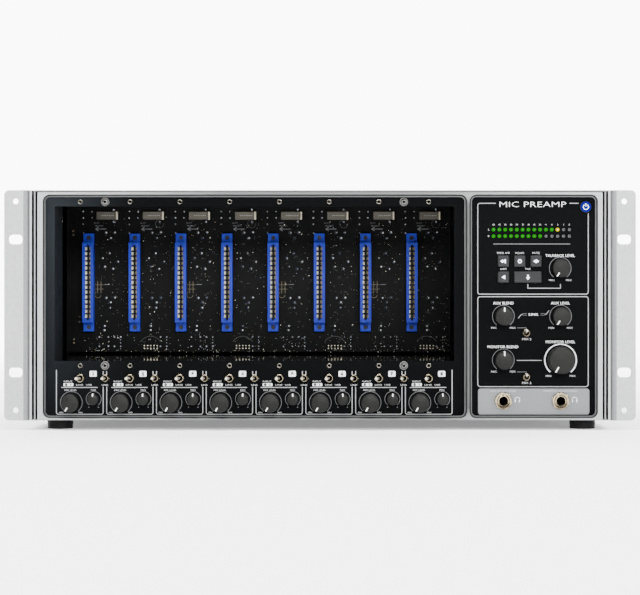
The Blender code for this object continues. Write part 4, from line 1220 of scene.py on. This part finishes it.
def leaded_joint(shape, x, z, radius, board, finish):
    """A near-black fillet of solder round a clipped lead that leans to the right. The lead's near-white
    colour paints a highlight on the joint's right side, and the fillet's dark colour paints shade round it.
    """
    solder_joint(shape, x, z, radius, board, "solder")
    lead = [(0.66, radius * 0.4), (0.64, radius * 0.95), (0.5, radius * 1.15), (0.0, radius * 1.25)]
    shape.turn(x + 0.4 * radius, z + 0.1, lead, finish, 12, -board)


# Bands of vias near the bay's floor: count, lowest and highest place, least radius and finishes
VIA_BANDS = ((12, 48.0, 61, 0.22, ("tin", "pad_dim")), (14, 46.6, 49.2, 0.25, ("gold", "pad_dim", "tin")))
# X and Z of the pads at the board's left edge
EDGE_PADS = (
    (-204.4, 146.8), (-204.4, 144.0), (-203.7, 57.3), (-203.7, 54.5), (-199.0, 76.0), (-199.2, 71.8)
)


def make_solder(board):
    """Solder joints in each slot's pattern, header pins on every second slot, and a sprinkle of vias."""
    rng = random.Random(1)
    shape, small = Shape(), Shape()
    for index, slot_x in enumerate(SLOT_X):
        for dx, z in JOINTS_BIG:
            radius, finish = rng.uniform(1.25, 1.55), rng.choice(("lead", "lead", "tin"))
            leaded_joint(shape, slot_x + dx, z, radius, board, finish)
        for dx, z in JOINTS_SMALL:
            solder_joint(shape, slot_x + dx, z, rng.uniform(0.6, 0.8), board)
        for z in (59.3, 51.6):
            for dx in (0.8, 8.2, 13.3, 18.5):
                if index % 2 == 0 or dx > 13:
                    solder_joint(shape, slot_x + dx, z, rng.uniform(0.65, 0.85), board)
        if index % 2 == 1:
            for column in range(5):
                for z in (52.2, 49.9):
                    solder_joint(small, slot_x + 2.65 * column, z, 0.62, board, "gold")
        for _ in range(75):
            dx, z = rng.uniform(-2.0, 25.0), rng.uniform(48.5, 160)
            if abs(dx - 7.6) < 10 and z > 155 or dx > 24.2:
                continue
            finish = rng.choice(("gold", "tin", "tin", "pad_dim", "pad_dim"))
            solder_joint(small, slot_x + dx, z, rng.uniform(0.18, 0.45), board, finish)
        for count, low, high, least, finishes in VIA_BANDS:
            for _ in range(count):
                dx, z, radius = rng.uniform(-12.0, 25.0), rng.uniform(low, high), rng.uniform(least, 0.42)
                solder_joint(small, slot_x + dx, z, radius, board, rng.choice(finishes))
        for z in (49.5, 52.0, 54.5, 57.0, 59.5):
            solder_joint(small, slot_x + 18.4, z, 0.5, board, "tin")
    for x, z in EDGE_PADS:
        solder_joint(small, x, z, 0.8, board, "pad_dim")
    shape.piece("solder_joints", slot="nickel_plate", angle=60)
    small.piece("board_pads", slot="nickel_plate", angle=60)


def make_board_print(board):
    """Faint marks on the board: arrows beside each can, part outlines and part numbers."""
    ink = Print(board - 0.05)
    rng = random.Random(2)
    for index, slot_x in enumerate(SLOT_X):
        ink.words("SLOT", 1.3, slot_x - 1.2, 153.7, 4.6, "ink_board")
        ink.words("FRONT", 1.3, slot_x + 0.8, 151.3, 7.0, "ink_board")
        ink.line([(slot_x + 6.6, 148.7), (slot_x - 1.6, 148.7)], 0.8, "ink_board")
        for turn in (-1, 1):
            ink.line([(slot_x - 2.4, 148.7), (slot_x + 0.2, 148.7 + turn * 1.6)], 0.8, "ink_board")
        if index % 2 == 0:
            for dx in (-0.6, 2.2):
                ink.line([(slot_x + dx, 95.5), (slot_x + dx, 105.5)], 0.55, "ink_tan")
            for z in (102.6, 99.0):
                ink.line([(slot_x - 3.0, z), (slot_x + 4.4, z)], 0.5, "ink_tan")
            ink.line(arc(slot_x - 0.4, 94.4, 2.6, 100, 330, 14), 0.5, "ink_tan")
            ink.line([(slot_x + 5.0, 102.8), (slot_x + 9.5, 102.8)], 0.7, "ink_board")
        else:
            ink.line(arc(slot_x + 12.6, 153.0, 3.4, 80, 350, 18), 0.4, "ink_faint")
            ink.line(arc(slot_x + 5.2, 50.5, 9.5, -60, 60, 18), 0.5, "ink_faint")
        for _ in range(26):
            x, z = slot_x + rng.uniform(0, 24), rng.uniform(50, 158)
            length = rng.uniform(0.8, 2.4)
            if rng.random() < 0.4:
                ink.line([(x, z), (x, z + length)], 0.3, "ink_faint")
            else:
                ink.line([(x, z), (x + length, z)], 0.35, "ink_faint")
        for _ in range(4):
            x, z = slot_x + rng.uniform(3, 20), rng.uniform(54, 140)
            ink.words(f"R{rng.randint(10, 99)}", 1.0, x, z, None, "ink_faint")
    ink.piece("board_print")


# Case, feet and rear


def make_case():
    """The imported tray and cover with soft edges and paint, and the screws that hold them together."""
    for name in ("chassis_tray", "top_cover"):
        shown = frame["nodes"][name]
        shown.data.materials.clear()
        shown.data.materials.append(M["case"])
        soft = shown.modifiers.new("soft", "BEVEL")
        soft.width = 0.3 * MM
        soft.segments = 2
        soft.limit_method = "ANGLE"
        soft.angle_limit = math.radians(50)
    shape = Shape()
    lid = extent("top_cover")[1][2]
    for x in (-190.0, -64.0, 64.0, 190.0):
        for y in (16.0, 120.0, 228.0):
            top_screw(shape, x, y, lid)
    shape.piece("cover_screws", slot="nickel_plate", angle=40)


# Down a foot's side: share of its radius, and height above its base
FOOT_RIBS = (
    (0.975, 1.5), (0.99, 1.3), (0.985, 0.6), (0.96, 0.2), (0.92, 0), (0.52, 0), (0.46, 0.5), (0.44, 3.0)
)


def top_screw(shape, x, y, z):
    """A flush countersunk screw with a cross recess, kept within the lid's thickness."""
    profile = ((3.6, -0.02), (3.3, 0.0), (0.0, 0.0))
    shape.stand(profile, 24, lambda a, b, rise: (x + a, y + b, z + rise - 0.005), "steel")
    # Painted shade: the cross recess is a thin near-black cross.
    for wide, long in ((1.7, 0.35), (0.35, 1.7)):
        shape.box((x - wide, x + wide), (y - long, y + long), (z - 0.02, z - 0.001), "bore")


def make_foot(name):
    """A tapered rubber foot with ribs round its side and a screw in a well underneath."""
    low, high = extent(name)
    x, y, _ = centre(name)
    bottom, top = low[2], high[2]
    height = top - bottom
    side = ((0.98, top), (1, top - 0.3), (1, top - 0.5 * height), (0.975, top - 0.56 * height))
    side += tuple((part, bottom + rise) for part, rise in FOOT_RIBS)
    well = tuple((part, bottom + rise) for part, rise in ((0.44, 3.0), (0.4, 2.6), (0.2, 2.4), (0, 2.4)))
    shape = Shape()
    for parts, finish in ((side, "rubber"), (well, "steel")):
        profile = [((high[0] - low[0]) / 2 * part, z) for part, z in parts]
        shape.stand(profile, 48, lambda a, b, z: (x + a, y + b, z), finish, start=finish == "rubber")
    shape.piece(f"rubber_{name}", ROOT, (name,), "foot_rubber", angle=40)


REAR = 240.0
# Turned parts of the rear sockets: finish, sides, and pairs of radius and height above the rear wall
ROUND_SOCKET = (
    ("plug", 36, (11.0, -16), (11.0, 0.8), (9.6, 0.8)),
    ("steel", 36, (9.6, 0.6), (9.6, 2.0), (9.2, 2.2), (8.4, 2.2), (8.2, 2.0), (8.2, -8)),
    ("plug", 36, (8.2, -8), (0, -8)),
    ("plug", 36, (6.6, -8), (6.6, 0), (6.3, 0.3), (0, 0.3)),
)
FLANGE_SCREW = (("steel", 24, (2.6, 2.18), (2.4, 2.7), (1.5, 3.0), (0, 3.05)),)
ROUND_CONTACT = (("gold", 16, (1.35, 0.31), (1.35, 0.36), (0.9, 0.36)), ("bore", 16, (0.9, 0.36), (0, 0.34)))
LINE_CONTACT = (("gold", 12, (0.7, 2.61), (0.7, 2.66), (0.45, 2.66)), ("bore", 12, (0.45, 2.66), (0, 2.64)))
POST = (
    ("steel", 6, (2.6, 1.3), (2.6, 3.1), (2.3, 3.4), (1.5, 3.4)),
    ("bore", 20, (1.5, 3.4), (1.5, 1), (0, 1)),
)
OUTPUT_SOCKET = (
    ("steel", 36, (6.9, 0.4), (6.9, 0.8), (4.6, 0.8)),
    ("nickel", 6, (6.6, 0.8), (6.6, 2.3), (6.2, 2.5), (4.6, 2.5)),
    ("nickel", 36, (4.6, -2), (4.6, 3.3), (4.4, 3.5), (3.4, 3.5), (3.2, 3.2), (3.2, -14)),
    ("bore", 36, (3.2, -14), (0, -14)),
)


def rear_turned(shape, x, z, parts):
    """Turned parts that face the rear and are open at their ends."""
    for finish, sides, *profile in parts:
        shape.turn(x, z, [(r, -REAR - y) for r, y in profile], finish, sides, capped=False)


def both_sides(x, z, right):
    """A closed outline about X and Z from its right-hand half."""
    return [(x + px, z + pz) for px, pz in right] + [(x - px, z + pz) for px, pz in reversed(right)]


def round_socket(shape, x, z, pins):
    """A flanged round socket with contacts and two fixing screws."""
    outline, hole = oblong(x, z, 13, 15.5, 2.2, 5), ring(x, z, 9.6, 36)
    shape.add_mesh(plate(outline, [hole], (REAR + 0.4, REAR + 2.2), 0.3, 2), "plug")
    rear_turned(shape, x, z, ROUND_SOCKET)
    for i in range(pins):
        angle = math.radians(90 + 360 * i / pins) if pins == 3 else math.radians(45 + 90 * i)
        rear_turned(shape, x + 3.6 * math.cos(angle), z + 3.6 * math.sin(angle), ROUND_CONTACT)
    for side in (-1, 1):
        screw_x, screw_z = x + side * 9.6, z + side * 12.0
        rear_turned(shape, screw_x, screw_z, FLANGE_SCREW)
        # Painted shade: the cross recess is a thin near-black cross.
        for wide, tall in ((1.4, 0.28), (0.28, 1.4)):
            shape.block(screw_x, screw_z, wide, tall, (REAR + 3.0, REAR + 3.08), "bore")


def shielded_mouth(shape, x, z, wide, tall, mouth, inside, finish):
    """A steel shell with a mouth and a lining that ends at the depth inside."""
    face = REAR + 0.2
    shape.add_mesh(plate(oblong(x, z, wide, tall, 0.4, 3), [mouth], (REAR - 1.4, face), 0.12, 1), "steel")
    shape.prism(mouth, (face - 0.3, inside), finish)


def link_socket(shape, x, z):
    """A shielded eight-way socket with a stepped mouth, eight contacts and two lamps."""
    mouth = both_sides(x, z, [(5.9, -4.2), (5.9, 2.4), (3.0, 2.4), (3.0, 4.2)])
    shielded_mouth(shape, x, z, 7.8, 6.6, mouth, REAR - 11, "plug")
    for i in range(8):
        contact_x = x - 3.57 + 1.02 * i
        shape.box((contact_x - 0.22, contact_x + 0.22), (REAR - 9, REAR - 1.4), (z - 3.9, z - 3.4), "gold")
    for side, finish in ((-1, "green_off"), (1, "amber_off")):
        shape.block(x + side * 4.9, z + 4.4, 1.3, 1.1, (REAR, REAR + 0.32), finish, 0.15)


def computer_socket(shape, x, z):
    mouth = both_sides(x, z, [(4.3, -3.95), (4.3, 2.4), (2.8, 3.95)])
    shielded_mouth(shape, x, z, 6.0, 5.5, mouth, REAR - 10, "steel")
    shape.block(x, z, 2.8, 1.6, (REAR - 10, REAR - 1.5), "white", 0.2)


def line_socket(shape, x, z):
    """A 25-way D-shaped socket with its shell, contact holes and hexagon posts."""
    shape.add_mesh(plate(oblong(x, z, 26.5, 6.3, 1.0, 4), [], (REAR + 0.4, REAR + 1.3), 0.2, 2), "steel")

    def shell(grow):
        return both_sides(x, z, [(19.4 + grow, 4.2 + grow), (18.2 + grow, -4.2 - grow)])

    walls = ((0, 0.9), (0, 3.2), (0.15, 3.3), (0.5, 3.3), (0.55, 3.1), (0.55, 1.8))
    shape.loft([[(px, REAR + y, pz) for px, pz in shell(-grow)] for grow, y in walls], "steel")
    shape.prism(shell(-0.6), (REAR + 1.2, REAR + 2.6), "plug")
    for count, row_z in ((13, z + 1.42), (12, z - 1.42)):
        for i in range(count):
            rear_turned(shape, x + (i - (count - 1) / 2) * 2.76, row_z, LINE_CONTACT)
    for side in (-1, 1):
        rear_turned(shape, x + side * 23.5, z, POST)


def make_rear():
    shape = Shape()
    shape.box((-208, 212), (REAR - 18, REAR - 16.4), (20, 165), "board", 0.2)
    shape.piece("rear_board", replaces=("rear_connector_board",), slot="board")
    shape = Shape()
    for x in SLOT_X:
        round_socket(shape, x, 142.0, 3)
        link_socket(shape, x, 104.0)
    shape.piece("channel_sockets", slot="board", angle=35)
    shape = Shape()
    for x in (-150.0, -50.0):
        line_socket(shape, x, 68.0)
    for x in (140.0, 170.0):
        for z in (142.0, 112.0):
            rear_turned(shape, x, z, OUTPUT_SOCKET)
    computer_socket(shape, 155.0, 80.0)
    round_socket(shape, 185.0, 60.0, 4)
    shape.piece("rear_sockets", slot="board", angle=35)
    make_rear_print()


def make_rear_print():
    """Plain labels on the rear wall, read from behind."""
    shape = Shape()
    half_turn = Matrix.Rotation(math.pi, 4, "Z")
    back = Matrix.Translation(at(0, REAR + 0.04, 0)) @ half_turn @ Matrix.Translation(-at(0, 0, 0))
    labels = [(f"IN {number}", 2.2, -x, 163.2) for number, x in enumerate(SLOT_X, 1)]
    labels += [(f"LINK {number}", 1.8, -x, 95.0) for number, x in enumerate(SLOT_X, 1)]
    labels += [("LINE IN", 2.2, 150, 56.5), ("LINE OUT", 2.2, 50, 56.5), ("OUT L", 2.0, -140, 152.5)]
    labels += [("OUT R", 2.0, -140, 122.5), ("MON L", 2.0, -170, 152.5), ("MON R", 2.0, -170, 122.5)]
    labels += [("USB", 2.0, -155, 89.0), ("DC IN", 2.2, -185, 80.0)]
    for words, size, x, z in labels:
        mesh = lettering(words, size, x, z, 0, None, 0.03)
        mesh.transform(back)
        shape.add_mesh(mesh, "ink_dark")
    shape.piece("rear_print")


# Studio

WORLD = 0.2
LIT_POINT = (0, 0, 0.09)
# Each light: name, place and size in metres, power in watts
LIGHTS = (
    ("front", (0.35, -2.7, 0.85), (1.7, 0.5), 80),
    ("left", (-2.0, -1.4, 1.7), (1.0, 1.2), 75),
    ("right", (2.1, -1.6, 0.9), (1.2, 1.8), 60),
    ("top", (0.0, -0.6, 2.5), (2.4, 1.2), 200),
)
CAMERA_AT = (0, -1974, 117.3)
LENS = 145.1
SHIFT = -0.0477


def make_light(name, where, size, power):
    lamp = bpy.data.lights.new(name, "AREA")
    lamp.shape = "RECTANGLE"
    lamp.size, lamp.size_y = size
    lamp.energy = power
    obj = linked(name, lamp)
    obj.location = where
    obj.rotation_euler = (Vector(LIT_POINT) - Vector(where)).to_track_quat("-Z", "Y").to_euler()


def make_stage():
    """A pale floor that sweeps up into a wall, and soft lights."""
    bm = bmesh.new()
    profile = [(-6.0, 0.0), (1.6, 0.0)]
    for step in range(1, 13):
        angle = math.radians(90 * step / 12)
        profile.append((1.6 + 1.2 * math.sin(angle), 1.2 * (1 - math.cos(angle))))
    profile.append((2.8, 7.0))
    rows = [[bm.verts.new((x, y, z)) for x in (-7, 7)] for y, z in profile]
    for a, b in zip(rows, rows[1:]):
        bm.faces.new((a[0], a[1], b[1], b[0]))
    mesh = bpy.data.meshes.new("studio_sweep")
    bm.to_mesh(mesh)
    bm.free()
    mesh.shade_smooth()
    mesh.materials.append(sweep_material())
    linked("studio_sweep", mesh)
    world = bpy.data.worlds.new("studio")
    world.use_nodes = True
    world.node_tree.nodes["Background"].inputs["Color"].default_value = (1, 1, 1, 1)
    world.node_tree.nodes["Background"].inputs["Strength"].default_value = WORLD
    bpy.context.scene.world = world
    for light in LIGHTS:
        make_light(*light)


def sweep_material():
    """Paper that glows a little towards the back, so that the wall behind is the lightest."""
    made = material("studio_paper", (0.86, 0.86, 0.86), 0.9, 0, grain=60, vary=0.01, blotch=3)
    tree = made.node_tree
    shader = tree.nodes["Principled BSDF"]
    shader.inputs["Specular IOR Level"].default_value = 0.0
    glow = mapped(tree, own_place(tree)["Y"], 0.1, 2.2, 0.25, 7.0, interpolation_type="SMOOTHSTEP")
    links(tree, (glow, shader.inputs["Emission Strength"]))
    shader.inputs["Emission Color"].default_value = (1, 1, 1, 1)
    return made


def make_camera():
    """Level, a little above the middle of the bay and 1.97 m in front of the panel."""
    lens = bpy.data.cameras.new("camera")
    lens.sensor_width = 36.0
    lens.lens = LENS
    lens.shift_y = SHIFT
    lens.clip_start = 0.05
    lens.clip_end = 50
    camera = linked("camera", lens)
    camera.location = at(*CAMERA_AT)
    camera.rotation_euler = (math.pi / 2, 0, 0)
    bpy.context.scene.camera = camera


def main():
    make_bezel()
    make_panel()
    make_liner()
    make_ear(-1, "rack_ear_left")
    make_ear(1, "rack_ear_right")
    make_print()
    make_jack_plate()
    make_bushes()
    for child in JOINT_AT:
        if "knob" in child:
            make_knob(child)
        else:
            make_toggle(child)
    make_lamps()
    for name in BUTTONS:
        make_button(name)
    make_power_button()
    for name, turn_by in zip(JACKS, (math.radians(12), math.radians(18))):
        make_jack(name, turn_by)
    make_inserts()
    make_backplane()
    make_case()
    for name in frame["nodes"]:
        if name.startswith("foot"):
            make_foot(name)
    make_rear()
    make_stage()
    make_camera()


main()
